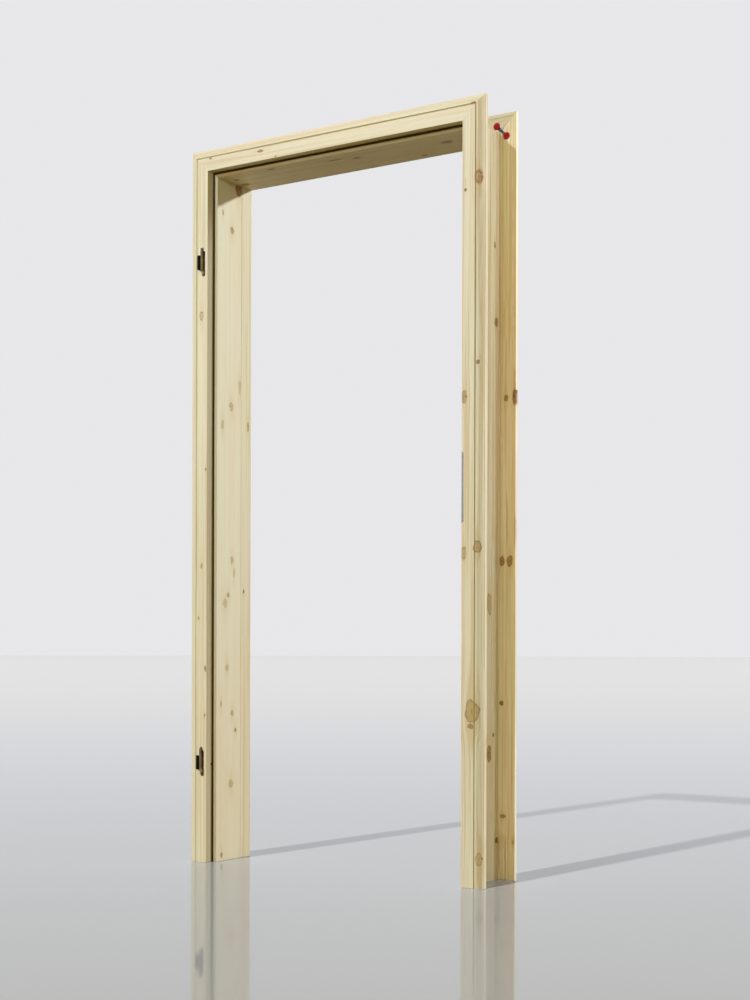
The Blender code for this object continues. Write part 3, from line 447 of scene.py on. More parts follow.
class Tree:
    """Short calls for adding and linking nodes in one node tree."""

    def __init__(self, tree):
        self.tree = tree

    def put(self, socket, value):
        """Link a socket, or set its value."""
        if isinstance(value, bpy.types.NodeSocket):
            self.tree.links.new(value, socket)
        else:
            socket.default_value = value

    def feed(self, node, **inputs):
        """Fill a node's inputs by name, with _ for a space."""
        for name, value in inputs.items():
            self.put(node.inputs[name.replace("_", " ")], value)
        return node

    def add(self, kind, settings=None, **inputs):
        """Add a node with its properties and its inputs."""
        node = self.tree.nodes.new(kind)
        for name, value in (settings or {}).items():
            setattr(node, name, value)
        return self.feed(node, **inputs)

    def group(self, group, **inputs):
        """Place a node group."""
        return self.add("ShaderNodeGroup", {"node_tree": group}, **inputs).outputs

    def math(self, operation, *values):
        """Math node."""
        node = self.add("ShaderNodeMath", {"operation": operation})
        for socket, value in zip(node.inputs, values):
            self.put(socket, value)
        return node.outputs[0]

    def product(self, first, *others):
        """Product of numbers."""
        for value in others:
            first = self.math("MULTIPLY", first, value)
        return first

    def bell(self, value, steepness=1.0):
        """Bell curve that is 1 at zero."""
        return self.math("EXPONENT", self.product(value, value, -steepness))

    def vector(self, operation, first, second):
        """Vector math node; the result is its vector."""
        node = self.add("ShaderNodeVectorMath", {"operation": operation})
        self.put(node.inputs[0], first)
        self.put(node.inputs["Scale" if operation == "SCALE" else 1], second)
        return node.outputs[0]

    def length(self, vector):
        """Length of a vector."""
        node = self.add("ShaderNodeVectorMath", {"operation": "LENGTH"})
        self.put(node.inputs[0], vector)
        return node.outputs["Value"]

    def xyz(self, x=0.0, y=0.0, z=0.0):
        """Vector of three numbers."""
        return self.add("ShaderNodeCombineXYZ", X=x, Y=y, Z=z).outputs[0]

    def split(self, vector):
        """The three numbers of a vector."""
        return self.add("ShaderNodeSeparateXYZ", Vector=vector).outputs

    def step(self, value, low, high, out_low=0.0, out_high=1.0):
        """Smooth step from out_low at low to out_high at high."""
        node = self.add(
            "ShaderNodeMapRange", {"interpolation_type": "SMOOTHSTEP"},
            Value=value, From_Min=low, From_Max=high, To_Min=out_low, To_Max=out_high,
        )
        return node.outputs["Result"]

    def noise(self, vector, scale, detail=2.0, roughness=0.5):
        """Noise between 0 and 1."""
        node = self.add("ShaderNodeTexNoise", Vector=vector, Scale=scale, Detail=detail, Roughness=roughness)
        return node.outputs["Fac"]

    def blend(self, factor, first, second, mode="MIX"):
        """Mix of two colours."""
        node = self.add("ShaderNodeMix", {"data_type": "RGBA", "blend_type": mode}, Factor=factor)
        self.put(node.inputs[6], first)
        self.put(node.inputs[7], second)
        return node.outputs[2]

    def bump(self, shader, strength, distance, height):
        """Relief on a shader's surface."""
        node = self.add("ShaderNodeBump", Strength=strength, Distance=distance, Height=height)
        self.feed(shader, Normal=node.outputs["Normal"])


def new_group(name, kind, inputs, outputs):
    """Node group with named sockets; returns it, its Tree, what it is given and what it has to fill."""
    group = bpy.data.node_groups.new(name, kind)
    for direction, sockets in (("INPUT", inputs), ("OUTPUT", outputs)):
        for label, socket_kind, *default in sockets:
            socket = group.interface.new_socket(label, in_out=direction, socket_type=socket_kind)
            if default:
                socket.default_value = default[0]
    start = group.nodes.new("NodeGroupInput")
    end = group.nodes.new("NodeGroupOutput")
    return group, Tree(group), start.outputs, end.inputs


def beside_feature(tree, given):
    """How far the shading point lies from the middle of a knot or streak: across it, and along the grain."""
    offset = tree.split(tree.vector("SUBTRACT", given["Point"], given["Centre"]))
    side_u = tree.math("MULTIPLY", offset["X"], given["Runs Deep"])
    shallow = tree.math("SUBTRACT", 1.0, given["Runs Deep"])
    across = tree.math("MULTIPLY_ADD", offset["Y"], shallow, side_u)
    return across, offset["Z"], shallow


def make_bend_group():
    """How one knot pushes the grain aside, and the darker wood round it."""
    sums = (("Push Across", NUMBER), ("Push Deep", NUMBER), ("Halo", NUMBER))
    inputs = (*KNOT_PLACE, *((label, kind, 0.0) for label, kind in sums))
    group, tree, given, result = new_group("pine_grain_bend", SHADING, inputs, sums)
    across, along, shallow = beside_feature(tree, given)
    radius = given["Radius"]
    along = tree.math("DIVIDE", along, given["Stretch"])
    far_along = tree.math("DIVIDE", along, tree.math("MULTIPLY", radius, HALO_ALONG))
    far_across = tree.math("DIVIDE", across, tree.math("MULTIPLY", radius, HALO_ACROSS))
    spread = tree.math("MULTIPLY_ADD", far_along, far_along, tree.math("MULTIPLY", far_across, far_across))
    halo = tree.math("EXPONENT", tree.math("MULTIPLY", spread, -1.0))
    width = tree.math("ABSOLUTE", across)
    fade = tree.math("EXPONENT", tree.math("DIVIDE", width, tree.math("MULTIPLY", radius, -PUSH_REACH)))
    lean = tree.math("DIVIDE", across, tree.math("MULTIPLY_ADD", radius, PUSH_CORE, width))
    push = tree.product(tree.bell(far_along, BEND_STEEPNESS), fade, lean, radius)
    push_across = tree.math("MULTIPLY_ADD", push, given["Runs Deep"], given["Push Across"])
    push_deep = tree.math("MULTIPLY_ADD", push, shallow, given["Push Deep"])
    tree.put(result["Push Across"], push_across)
    tree.put(result["Push Deep"], push_deep)
    tree.put(result["Halo"], tree.math("MAXIMUM", halo, given["Halo"]))
    return group


def make_knot_group():
    """One knot laid over the wood: its own rings, a dark outline, a dark core and a reddish edge."""
    inputs = (
        *KNOT_PLACE, ("Dark", NUMBER, 0.5), ("Outline", NUMBER, 0.7), ("Redness", NUMBER, 0.0),
        ("Color", COLOR),
    )
    group, tree, given, result = new_group("pine_knot", SHADING, inputs, (("Color", COLOR),))
    across, along, _ = beside_feature(tree, given)
    tall = tree.math("MULTIPLY", given["Radius"], given["Stretch"])
    local = tree.xyz(tree.math("DIVIDE", across, given["Radius"]), tree.math("DIVIDE", along, tall))
    own = tree.vector("ADD", local, tree.vector("SCALE", given["Centre"], KNOT_PATTERN_SPREAD))
    bend = tree.noise(own, 0.9, 1.0)
    patch = tree.noise(tree.vector("ADD", own, KNOT_PATTERN_SHIFT), 2.4)
    uneven = tree.math("MULTIPLY_ADD", tree.math("SUBTRACT", bend, 0.5), KNOT_UNEVEN, 1.0)
    ratio = tree.math("MULTIPLY", tree.length(local), uneven)
    year = tree.math("FRACT", tree.math("MULTIPLY_ADD", ratio, KNOT_RINGS, patch))
    ring = tree.math("MULTIPLY", tree.step(year, 0.45, 0.85), tree.step(year, 1.0, 0.9))
    wood = tree.blend(given["Dark"], KNOT_PALE, KNOT_WOOD)
    wood = tree.blend(tree.math("MULTIPLY", ring, 0.35), wood, KNOT_WOOD)
    wood = tree.blend(tree.math("MULTIPLY", tree.step(patch, 0.45, 0.7), given["Dark"]), wood, KNOT_RIM)
    cover = tree.step(given["Dark"], 0.0, 0.5, *KNOT_COVER)
    color = tree.blend(tree.math("MULTIPLY", tree.step(ratio, *KNOT_EDGE), cover), given["Color"], wood)
    ruddy = tree.bell(tree.math("DIVIDE", tree.math("SUBTRACT", ratio, RUDDY_PLACE), RUDDY_WIDTH))
    ruddy = tree.product(ruddy, tree.step(bend, 0.40, 0.55), given["Redness"])
    color = tree.blend(ruddy, color, RED_WOOD)
    rim = tree.bell(tree.math("DIVIDE", tree.math("SUBTRACT", ratio, RIM_PLACE), RIM_WIDTH))
    rim = tree.product(rim, tree.step(patch, 0.28, 0.52, 0.4, 1.0), given["Outline"])
    core = tree.product(tree.step(ratio, *KNOT_CORE), given["Dark"], 0.8)
    tree.put(result["Color"], tree.blend(tree.math("MAXIMUM", rim, core), color, KNOT_RIM))
    return group


def make_streak_group():
    """A narrow line along the grain, for cracks and stains, that narrows to nothing at its ends."""
    inputs = (
        *FEATURE_PLACE, ("Half Length", NUMBER, 0.03), ("Half Width", NUMBER, 0.0005),
        ("Wobble", NUMBER, 0.5), ("Mask", NUMBER, 0.0),
    )
    group, tree, given, result = new_group("pine_streak", SHADING, inputs, (("Mask", NUMBER),))
    across, along, _ = beside_feature(tree, given)
    wander = tree.math("MULTIPLY", tree.math("SUBTRACT", given["Wobble"], 0.5), STREAK_WANDER)
    across = tree.math("ABSOLUTE", tree.math("ADD", across, wander))
    along = tree.math("DIVIDE", tree.math("ABSOLUTE", along), given["Half Length"])
    taper = tree.math("MULTIPLY", tree.step(along, 0.35, 1.0, 1.0, 0.0), given["Half Width"])
    near = tree.math("DIVIDE", across, tree.math("ADD", taper, 1e-5))
    mask = tree.step(near, 0.6, 1.4, 1.0, 0.0)
    tree.put(result["Mask"], tree.math("MAXIMUM", mask, given["Mask"]))
    return group


def make_figure_group():
    """The wood between the knots: growth rings round the pith, fibres, broad tints and resin lines."""
    inputs = (("Point", POINT), ("Pith", POINT), ("Ring Width", NUMBER, 0.0026), ("Seed", NUMBER, 0.0))
    labels = ("Late", "Fibre", "Tint", "Streaks", "Hue", "Resin", "Height")
    outputs = [(label, NUMBER) for label in labels]
    group, tree, given, result = new_group("pine_figure", SHADING, inputs, outputs)
    seed = tree.xyz(given["Seed"], given["Seed"], given["Seed"])

    def grain(stretch, scale=1.0, detail=2.0, shift=0.0):
        """Noise drawn out along the board."""
        place = tree.vector("MULTIPLY", given["Point"], stretch)
        place = tree.vector("ADD", tree.vector("ADD", place, seed), (shift, shift, shift))
        return tree.noise(place, scale, detail)

    drift_u = tree.math("SUBTRACT", grain(DRIFT_GRAIN, 1.6, 1.0), 0.5)
    drift_v = tree.math("SUBTRACT", grain(DRIFT_GRAIN, 1.6, 1.0, 7.0), 0.5)
    drift = tree.vector("SCALE", tree.xyz(drift_u, drift_v), RING_DRIFT)
    from_pith = tree.vector("SUBTRACT", tree.vector("ADD", given["Point"], drift), given["Pith"])
    reach = tree.length(tree.vector("MULTIPLY", from_pith, (1.0, 1.0, 0.0)))
    ripple = tree.math("MULTIPLY", tree.math("SUBTRACT", grain(RIPPLE_GRAIN), 0.5), RING_RIPPLE)
    year = tree.math("FRACT", tree.math("ADD", tree.math("DIVIDE", reach, given["Ring Width"]), ripple))
    late = tree.math("MULTIPLY", tree.step(year, *LATE_RISE), tree.step(year, *LATE_FALL, 1.0, 0.0))
    fibre = grain(FIBRE_GRAIN)
    tint = grain(TINT_GRAIN, shift=3.0)
    streaks = grain(STREAK_GRAIN, shift=11.0)
    hue = grain(HUE_GRAIN, shift=17.0)
    resin = tree.step(grain(RESIN_GRAIN, 1.0, 1.0, 5.0), *RESIN_RANGE)
    height = tree.math("MULTIPLY_ADD", fibre, 0.5, tree.math("MULTIPLY", late, 0.5))
    height = tree.math("SUBTRACT", height, tree.math("MULTIPLY", resin, 0.6))
    for label, value in zip(labels, (late, fibre, tint, streaks, hue, resin, height)):
        tree.put(result[label], value)
    return group


def make_marks_group():
    """Fine marks and an uneven sheen for metal and plastic."""
    inputs = (("Point", POINT), ("Drawn Out", POINT, EVEN), ("Size", NUMBER, 900.0))
    outputs = (("Marks", NUMBER), ("Cloud", NUMBER))
    group, tree, given, result = new_group("fine_marks", SHADING, inputs, outputs)
    drawn = tree.vector("MULTIPLY", given["Point"], given["Drawn Out"])
    tree.put(result["Marks"], tree.noise(drawn, given["Size"], 3.0, 0.6))
    tree.put(result["Cloud"], tree.noise(given["Point"], 120.0))
    return group


BEND_GROUP = make_bend_group()
KNOT_GROUP = make_knot_group()
STREAK_GROUP = make_streak_group()
FIGURE_GROUP = make_figure_group()
MARKS_GROUP = make_marks_group()


def new_material(name):
    """Empty Principled material; returns the material, its Tree, its shader node and the shading point."""
    material = bpy.data.materials.new(name)
    material.use_nodes = True
    tree = Tree(material.node_tree)
    point = tree.add("ShaderNodeTexCoord").outputs["Object"]
    return material, tree, material.node_tree.nodes["Principled BSDF"], point


def feature_place(point, feature):
    """Group inputs that put a knot or a streak in its place on the board."""
    if feature.through == "y":
        return {"Point": point, "Centre": (feature.across, 0.0, feature.along), "Runs_Deep": 1.0}
    return {"Point": point, "Centre": (0.0, feature.across, feature.along), "Runs_Deep": 0.0}


def knot_place(point, knot):
    """Group inputs for the place and size of a knot."""
    return {**feature_place(point, knot), "Radius": knot.radius, "Stretch": knot.stretch}


def pine_material(name, board):
    """Planed pine for one board, with its own knots, cracks, stains and painted shade in its hollows."""
    material, tree, shader, place = new_material(f"{name}_pine")
    parts = tree.split(place)
    first, last = ("Z", "X") if name.endswith("head") else ("X", "Z")
    point = tree.xyz(parts[first], parts["Y"], parts[last])
    slow_wobble = tree.noise(point, 28.0, 1.0)
    push = {"Push_Across": 0.0, "Push_Deep": 0.0, "Halo": 0.0}
    for knot in board.knots:
        outputs = tree.group(BEND_GROUP, **knot_place(point, knot), **push)
        push = {label: outputs[label.replace("_", " ")] for label in push}

    def streak_mask(streaks):
        """Where any of the streaks lies."""
        mask = 0.0
        for streak in streaks:
            mask = tree.group(
                STREAK_GROUP, **feature_place(point, streak), Half_Length=streak.half_length,
                Half_Width=streak.half_width, Wobble=slow_wobble, Mask=mask,
            )["Mask"]
        return mask

    bent = tree.vector("SUBTRACT", point, tree.xyz(push["Push_Across"], push["Push_Deep"]))
    figure = tree.group(
        FIGURE_GROUP, Point=bent, Pith=(*board.pith, 0.0), Ring_Width=board.ring, Seed=board.seed
    )
    hue = HUE_STRENGTH * board.figure
    streaks = STREAK_STRENGTH * board.figure
    color = tree.blend(tree.step(figure["Tint"], *TINT_RANGE), COOL_WOOD, WARM_WOOD)
    for factor, wood in (
        (0.55 - 0.3 * board.warmth, EARLY_WOOD),
        (tree.step(figure["Hue"], *GREEN_RANGE, 0.0, hue), GREEN_STREAK),
        (tree.step(figure["Hue"], *ROSE_RANGE, 0.0, hue), ROSE_STREAK),
        (tree.math("MULTIPLY", figure["Late"], LATE_STRENGTH * board.figure), LATE_WOOD),
        (tree.step(figure["Streaks"], *DARK_RANGE, 0.0, streaks), LATE_WOOD),
        (tree.step(figure["Streaks"], *PALE_RANGE, 0.0, streaks), EARLY_WOOD),
        (tree.math("MULTIPLY", figure["Resin"], RESIN_STRENGTH), HALO_WOOD),
        (tree.math("MULTIPLY", push["Halo"], HALO_STRENGTH), HALO_WOOD),
        (tree.math("MULTIPLY", streak_mask(board.stains), STAIN_STRENGTH), STAIN_WOOD),
    ):
        color = tree.blend(factor, color, wood)
    for knot in board.knots:
        color = tree.group(
            KNOT_GROUP, **knot_place(point, knot), Dark=knot.dark, Outline=knot.outline, Redness=knot.red,
            Color=color,
        )["Color"]
    crack = streak_mask(board.cracks)
    color = tree.blend(crack, color, CRACK_DARK)
    height = tree.math("SUBTRACT", figure["Height"], tree.math("MULTIPLY", crack, CRACK_DEPTH))
    color = paint_hollow_shade(tree, point, board, color, streak_mask(board.pockets))
    shade = tree.vector("SCALE", board.tone, tree.math("MULTIPLY_ADD", figure["Fibre"], 0.14, 0.93))
    tree.feed(
        shader, Base_Color=tree.blend(1.0, color, shade, "MULTIPLY"), Specular_IOR_Level=0.45,
        Roughness=tree.math("MULTIPLY_ADD", figure["Late"], -0.08, 0.52),
    )
    tree.bump(shader, 0.35, 0.0003, height)
    return material


def paint_hollow_shade(tree, point, board, color, pocket):
    """Painted shade: darken the groove beside the moulding, and the walls of the hinge pockets down to their
    floor.
    """
    if not board.quirk:
        return color
    place = tree.split(point)
    off_middle = tree.math("ABSOLUTE", tree.math("SUBTRACT", place["X"], board.quirk))
    groove = tree.step(off_middle, QUIRK_HALF_WIDTH, QUIRK_HALF_WIDTH - QUIRK_BLUR)
    sunk = tree.step(place["Y"], *SUNK_RANGE)
    # Painted shade in the groove beside the moulding
    color = tree.blend(tree.math("MULTIPLY", groove, sunk), color, QUIRK_PAINTED_SHADE)
    if board.pockets:
        above_floor = tree.step(place["Y"], *POCKET_FLOOR)
        # Painted shade on the walls of the hinge pockets
        color = tree.blend(tree.product(pocket, sunk, above_floor), color, POCKET_PAINTED_SHADE)
    return color


def marked_material(name):
    """Metal or plastic with fine marks."""
    finish = FINISHES[name]
    material, tree, shader, point = new_material(name)
    marks = tree.group(MARKS_GROUP, Point=point, Drawn_Out=finish.drawn_out, Size=finish.marks)
    dull = tuple(channel * SOILED for channel in finish.color)
    cloud = tree.step(marks["Cloud"], *CLOUD_RANGE)
    tree.feed(
        shader, Base_Color=tree.blend(cloud, (*finish.color, 1), (*dull, 1)),
        Roughness=tree.math("MULTIPLY_ADD", marks["Marks"], 0.25, finish.rough - 0.12),
        Metallic=finish.metallic, Specular_IOR_Level=finish.sheen,
    )
    tree.bump(shader, 0.4, MARK_DEPTH, marks["Marks"])
    return material


def leaf_material():
    """Zinc-plated steel that is bright where it stands proud, with painted shade, dark brown and less
    metallic, down in its pocket.
    """
    material, tree, shader, point = new_material("leaf_steel")
    marks = tree.group(MARKS_GROUP, Point=point, Drawn_Out=(1.0, 1.0, 0.08))
    # Painted shade on the leaf below the front face
    pocket_shade = tree.step(tree.split(point)["Y"], *LEAF_SHADE_RANGE)
    plated = tree.blend(tree.step(marks["Cloud"], *CLOUD_RANGE), PLATED, PLATED_DULL)
    tree.feed(
        shader, Base_Color=tree.blend(pocket_shade, plated, LEAF_SHADE_COLOR),
        Roughness=tree.math("MULTIPLY_ADD", marks["Marks"], 0.25, 0.30),
        Metallic=tree.math("MULTIPLY_ADD", pocket_shade, -0.1, 0.3),
    )
    tree.bump(shader, 0.3, MARK_DEPTH, marks["Marks"])
    return material


def dowel_material():
    """Beech of the fluted dowels."""
    material, tree, shader, point = new_material("dowel_beech")
    fleck = tree.noise(tree.vector("MULTIPLY", point, (500.0, 500.0, 60.0)), 1.0)
    tree.feed(shader, Base_Color=tree.blend(tree.step(fleck, 0.4, 0.7), BEECH, BEECH_FLECK), Roughness=0.7)
    tree.bump(shader, 0.3, 0.0002, fleck)
    return material


MATERIALS = {name: marked_material(name) for name in FINISHES}
MATERIALS["dowel_wood"] = dowel_material()
# The receivers take the finish with painted shade for their pocket
SPECIAL_FINISHES = {"leaf": leaf_material(), "receiver": MATERIALS["receiver_steel"]}


def merged_copy(node, name, material):
    """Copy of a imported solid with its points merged, smooth where the solid is round."""
    shape = bmesh.new()
    shape.from_mesh(frame["nodes"][node].data)
    bmesh.ops.remove_doubles(shape, verts=shape.verts, dist=MERGE_DISTANCE)
    mesh = bpy.data.meshes.new(name)
    shape.to_mesh(mesh)
    shape.free()
    mesh.materials.clear()
    mesh.materials.append(material)
    mesh.shade_smooth()
    mesh.set_sharp_from_angle(angle=SMOOTH_ANGLE)
    piece = bpy.data.objects.new(name, mesh)
    bpy.context.scene.collection.objects.link(piece)
    return piece


def even_normals(piece):
    """Keep the flats flat beside their rounded edges."""
    modifier = piece.modifiers.new("even_normals", "WEIGHTED_NORMAL")
    modifier.mode = "FACE_AREA"
    modifier.weight = 60
    modifier.keep_sharp = True


def body_of_node(node):
    """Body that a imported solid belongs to."""
    bodies = frame["record"]["behaviour"]["bodies"]
    return next(body for body in bodies if node in bodies[body])


def stand_for(piece, nodes):
    """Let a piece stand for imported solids, and ride on the body that they belong to."""
    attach(piece, body_of_node(nodes[0]))
    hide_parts(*nodes)


def make_boards():
    """The nine pine boards."""
    boards = {}
    for node, board in BOARDS.items():
        boards[node] = merged_copy(node, f"{node}_board", pine_material(node, board))
        even_normals(boards[node])
        stand_for(boards[node], [node])
    return boards


def make_hardware():
    """Metal and plastic pieces, with their edges eased."""
    for part in frame["record"]["subparts"]:
        node = part["node"]
        slot = part["material_slot"]
        width = next((value for word, value in EASED_EDGES.items() if word in node.split("_")), None)
        if width is None:
            continue
        finish = SPECIAL_FINISHES.get(node.split("_")[-1], MATERIALS[slot])
        piece = merged_copy(node, f"{node}_eased", finish)
        ease = piece.modifiers.new("eased_edges", "BEVEL")
        ease.width = width
        ease.segments = 2
        ease.limit_method = "ANGLE"
        ease.angle_limit = EASED_ANGLE
        even_normals(piece)
        stand_for(piece, [node])


def close_shape_tree(tree, given, geometry, result):
    """Put the shape in its place, make it real and give it its finish."""
    placed = moved(tree, geometry, given["Place"], given["Turn"])
    real = tree.add("GeometryNodeRealizeInstances", Geometry=placed)
    done = tree.add("GeometryNodeSetMaterial", Geometry=real.outputs[0], Material=given["Finish"])
    tree.put(result["Geometry"], done.outputs[0])


def join(tree, *shapes):
    """Join shapes."""
    node = tree.add("GeometryNodeJoinGeometry")
    for shape in reversed(shapes):
        tree.put(node.inputs[0], shape)
    return node.outputs[0]


def moved(tree, shape, place, turn=(0.0, 0.0, 0.0)):
    """Turn and shift a shape."""
    return tree.add("GeometryNodeTransform", Geometry=shape, Translation=place, Rotation=turn).outputs[0]


def round_bar(tree, radius, low, high, top_radius=None):
    """Closed bar or cone along Z from low to high."""
    node = tree.add(
        "GeometryNodeMeshCone", {"fill_type": "NGON"}, Vertices=ROUND_SIDES, Radius_Bottom=radius,
        Radius_Top=radius if top_radius is None else top_radius, Depth=tree.math("SUBTRACT", high, low),
    )
    return moved(tree, node.outputs["Mesh"], tree.xyz(z=low))


def thread(tree, radius, low, high, pitch, size):
    """Screw thread as a thin ridge wound round a shank."""
    length = tree.math("SUBTRACT", high, low)
    spiral = tree.add(
        "GeometryNodeCurveSpiral", Resolution=THREAD_STEPS, Rotations=tree.math("DIVIDE", length, pitch),
        Start_Radius=radius, End_Radius=radius, Height=length,
    )
    ridge = tree.add("GeometryNodeCurvePrimitiveCircle", {"mode": "RADIUS"}, Resolution=4, Radius=size)
    wound = tree.add(
        "GeometryNodeCurveToMesh", Curve=spiral.outputs["Curve"], Profile_Curve=ridge.outputs["Curve"],
        Fill_Caps=True,
    )
    return moved(tree, wound.outputs["Mesh"], tree.xyz(z=low))


def make_bolt_tree():
    """Double-ended bolt along Z: threaded middle, two collars, and a ball on a neck at each end."""
    inputs = (
        ("Shaft Radius", NUMBER, 0.0022), ("Collar Radius", NUMBER, 0.0034), ("Collar Start", NUMBER, 0.0040),
        ("Collar End", NUMBER, 0.0098), ("Neck Radius", NUMBER, 0.0014), ("Ball Radius", NUMBER, 0.0025),
        ("Ball Place", NUMBER, 0.0164), ("Pitch", NUMBER, 0.0008), ("Thread Size", NUMBER, 0.00022),
        ("Collar Edge", NUMBER, 0.0004),
    )
    group, tree, given, result = new_group("double_ended_bolt", SHAPING, (*SHAPE, *inputs, *PLACED), SHAPE)
    start = given["Collar Start"]
    low = tree.math("MULTIPLY", start, -1.0)
    shaft = round_bar(tree, given["Shaft Radius"], low, start)
    wound = thread(tree, given["Shaft Radius"], low, start, given["Pitch"], given["Thread Size"])
    edge = given["Collar Edge"]
    waist = tree.math("SUBTRACT", given["Collar Radius"], edge)
    inner = tree.math("ADD", start, edge)
    outer = tree.math("SUBTRACT", given["Collar End"], edge)
    collar = join(
        tree,
        round_bar(tree, waist, start, inner, given["Collar Radius"]),
        round_bar(tree, given["Collar Radius"], inner, outer),
        round_bar(tree, given["Collar Radius"], outer, given["Collar End"], waist),
    )
    neck = round_bar(tree, given["Neck Radius"], outer, given["Ball Place"])
    ball = tree.add(
        "GeometryNodeMeshUVSphere", Segments=ROUND_SIDES, Rings=ROUND_SIDES // 2, Radius=given["Ball Radius"]
    )
    half = join(tree, collar, neck, moved(tree, ball.outputs["Mesh"], tree.xyz(z=given["Ball Place"])))
    other = moved(tree, half, (0.0, 0.0, 0.0), (math.pi, 0.0, 0.0))
    close_shape_tree(tree, given, join(tree, shaft, wound, half, other), result)
    return group


def make_screw_tree():
    """Row of countersunk screws along -Z with a cross recess and a wood thread."""
    inputs = (
        ("Head Radius", NUMBER, 0.0035), ("Shank Radius", NUMBER, 0.0018), ("Length", NUMBER, 0.018),
        ("Pitch", NUMBER, 0.0014), ("Thread Size", NUMBER, 0.0004), ("Recess Length", NUMBER, 0.0036),
        ("Recess Width", NUMBER, 0.0009), ("Recess Depth", NUMBER, 0.0012), ("Count", WHOLE, 2),
        ("Step", POINT, (0.0, 0.025, 0.0)), ("Runout", NUMBER, 0.001),
    )
    group, tree, given, result = new_group("countersunk_screws", SHAPING, (*SHAPE, *inputs, *PLACED), SHAPE)
    shank_radius = given["Shank Radius"]
    under_head = tree.math("SUBTRACT", shank_radius, given["Head Radius"])
    point = tree.math("MULTIPLY", given["Length"], -1.0)
    tip = tree.math("MULTIPLY_ADD", shank_radius, 1.6, point)
    cut = tree.add("GeometryNodeMeshBoolean", {"operation": "DIFFERENCE", "solver": "EXACT"})
    tree.put(cut.inputs[0], round_bar(tree, shank_radius, under_head, 0.0, given["Head Radius"]))
    depth = tree.math("MULTIPLY", given["Recess Depth"], 2.0)
    for long_name, short_name in (("Recess Length", "Recess Width"), ("Recess Width", "Recess Length")):
        arm = tree.add("GeometryNodeMeshCube", Size=tree.xyz(given[long_name], given[short_name], depth))
        tree.put(cut.inputs[1], arm.outputs["Mesh"])
    shank = round_bar(tree, shank_radius, tip, under_head)
    sharp = round_bar(tree, SCREW_POINT_RADIUS, point, tip, shank_radius)
    thread_end = tree.math("SUBTRACT", under_head, given["Runout"])
    wound = thread(tree, shank_radius, tip, thread_end, given["Pitch"], given["Thread Size"])
    screw = join(tree, cut.outputs[0], shank, sharp, wound)
    row = tree.add("GeometryNodeMeshLine", {"mode": "OFFSET"}, Count=given["Count"], Offset=given["Step"])
    placed = tree.add("GeometryNodeInstanceOnPoints", Points=row.outputs[0], Instance=screw)
    close_shape_tree(tree, given, placed.outputs[0], result)
    return group


def make_length_tree():
    """Drawn-out section: the piece's own flat face is pulled along Z, with its ends cut to a mitre."""
    inputs = (("Length", NUMBER, 1.0), ("Low Slope", NUMBER, 0.0), ("High Slope", NUMBER, 0.0))
    group, tree, given, result = new_group("mitred_length", SHAPING, (*SHAPE, *inputs, *PLACED), SHAPE)
    drawn = tree.add(
        "GeometryNodeExtrudeMesh", {"mode": "FACES"}, Mesh=given["Geometry"],
        Offset=tree.xyz(z=given["Length"]), Individual=False,
    )
    base = tree.add("GeometryNodeFlipFaces", Mesh=given["Geometry"]).outputs[0]
    whole = join(tree, drawn.outputs["Mesh"], base)
    closed = tree.add("GeometryNodeMergeByDistance", Geometry=whole, Distance=MERGE_DISTANCE)
    place = tree.split(tree.add("GeometryNodeInputPosition").outputs[0])
    part = tree.math("DIVIDE", place["Z"], given["Length"])
    high = tree.math("MULTIPLY", given["High Slope"], part)
    slope = tree.math("MULTIPLY_ADD", given["Low Slope"], tree.math("SUBTRACT", 1.0, part), high)
    shift = tree.xyz(z=tree.math("MULTIPLY", slope, place["X"]))
    cut = tree.add("GeometryNodeSetPosition", Geometry=closed.outputs[0], Offset=shift)
    close_shape_tree(tree, given, cut.outputs[0], result)
    return group


def grow_piece(name, nodes, slot, group, values, mesh=None):
    """Piece made by a geometry tree, kept as a plain mesh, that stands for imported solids."""
    piece = bpy.data.objects.new(name, mesh or bpy.data.meshes.new(name))
    bpy.context.scene.collection.objects.link(piece)
    modifier = piece.modifiers.new(group.name, "NODES")
    modifier.node_group = group
    sockets = {item.name: item.identifier for item in group.interface.items_tree if item.in_out == "INPUT"}
    for label, value in {**values, "Finish": MATERIALS[slot]}.items():
        modifier[sockets[label]] = value
    graph = bpy.context.evaluated_depsgraph_get()
    made = bpy.data.meshes.new_from_object(piece.evaluated_get(graph))
    piece.modifiers.remove(modifier)
    piece.data = made
    made.name = name
    made.shade_smooth()
    made.set_sharp_from_angle(angle=SMOOTH_ANGLE)
    stand_for(piece, nodes)


def turn_from(z_axis, x_axis):
    """Euler turn that takes +Z to one direction and +X to another."""
    up = Vector(z_axis).normalized()
    first = Vector(x_axis).normalized()
    return tuple(Matrix((first, up.cross(first), up)).transposed().to_euler())


def foot_edge(side):
    """One edge of the seal's barbed foot, from the stop face down."""
    thin = SEAL_FOOT_MIDDLE + side * SEAL_FOOT_THIN
    edge = [(thin, SEAL_SEAT)]
    for barb in range(SEAL_BARBS):
        root = SEAL_SEAT + SEAL_FOOT_DEPTH * (barb + SEAL_BARB_PLACE) / SEAL_BARBS
        edge += [(SEAL_FOOT_MIDDLE + side * SEAL_FOOT_WIDE, root), (thin, root + SEAL_BARB_RUN)]
    return edge


def seal_face(name, side):
    """Flat face with the seal's section: a ribbed crown over the stop and a barbed foot in its groove."""
    crown = []
    for step in range(SEAL_CROWN_STEPS + 1):
        angle = math.pi * (1 + step / SEAL_CROWN_STEPS)
        rib = 1 - SEAL_RIB_DEPTH * (step % 2)
        across = SEAL_MIDDLE + SEAL_HALF_WIDTH * rib * math.cos(angle)
        crown.append((across, SEAL_SEAT + SEAL_HEIGHT * rib * math.sin(angle)))
    outline = crown + foot_edge(1) + foot_edge(-1)[::-1]
    shape = bmesh.new()
    face = shape.faces.new([shape.verts.new((side * across, deep, 0.0)) for across, deep in outline])
    face.normal_update()
    if face.normal.z < 0:
        face.normal_flip()
    mesh = bpy.data.meshes.new(name)
    shape.to_mesh(mesh)
    shape.free()
    return mesh


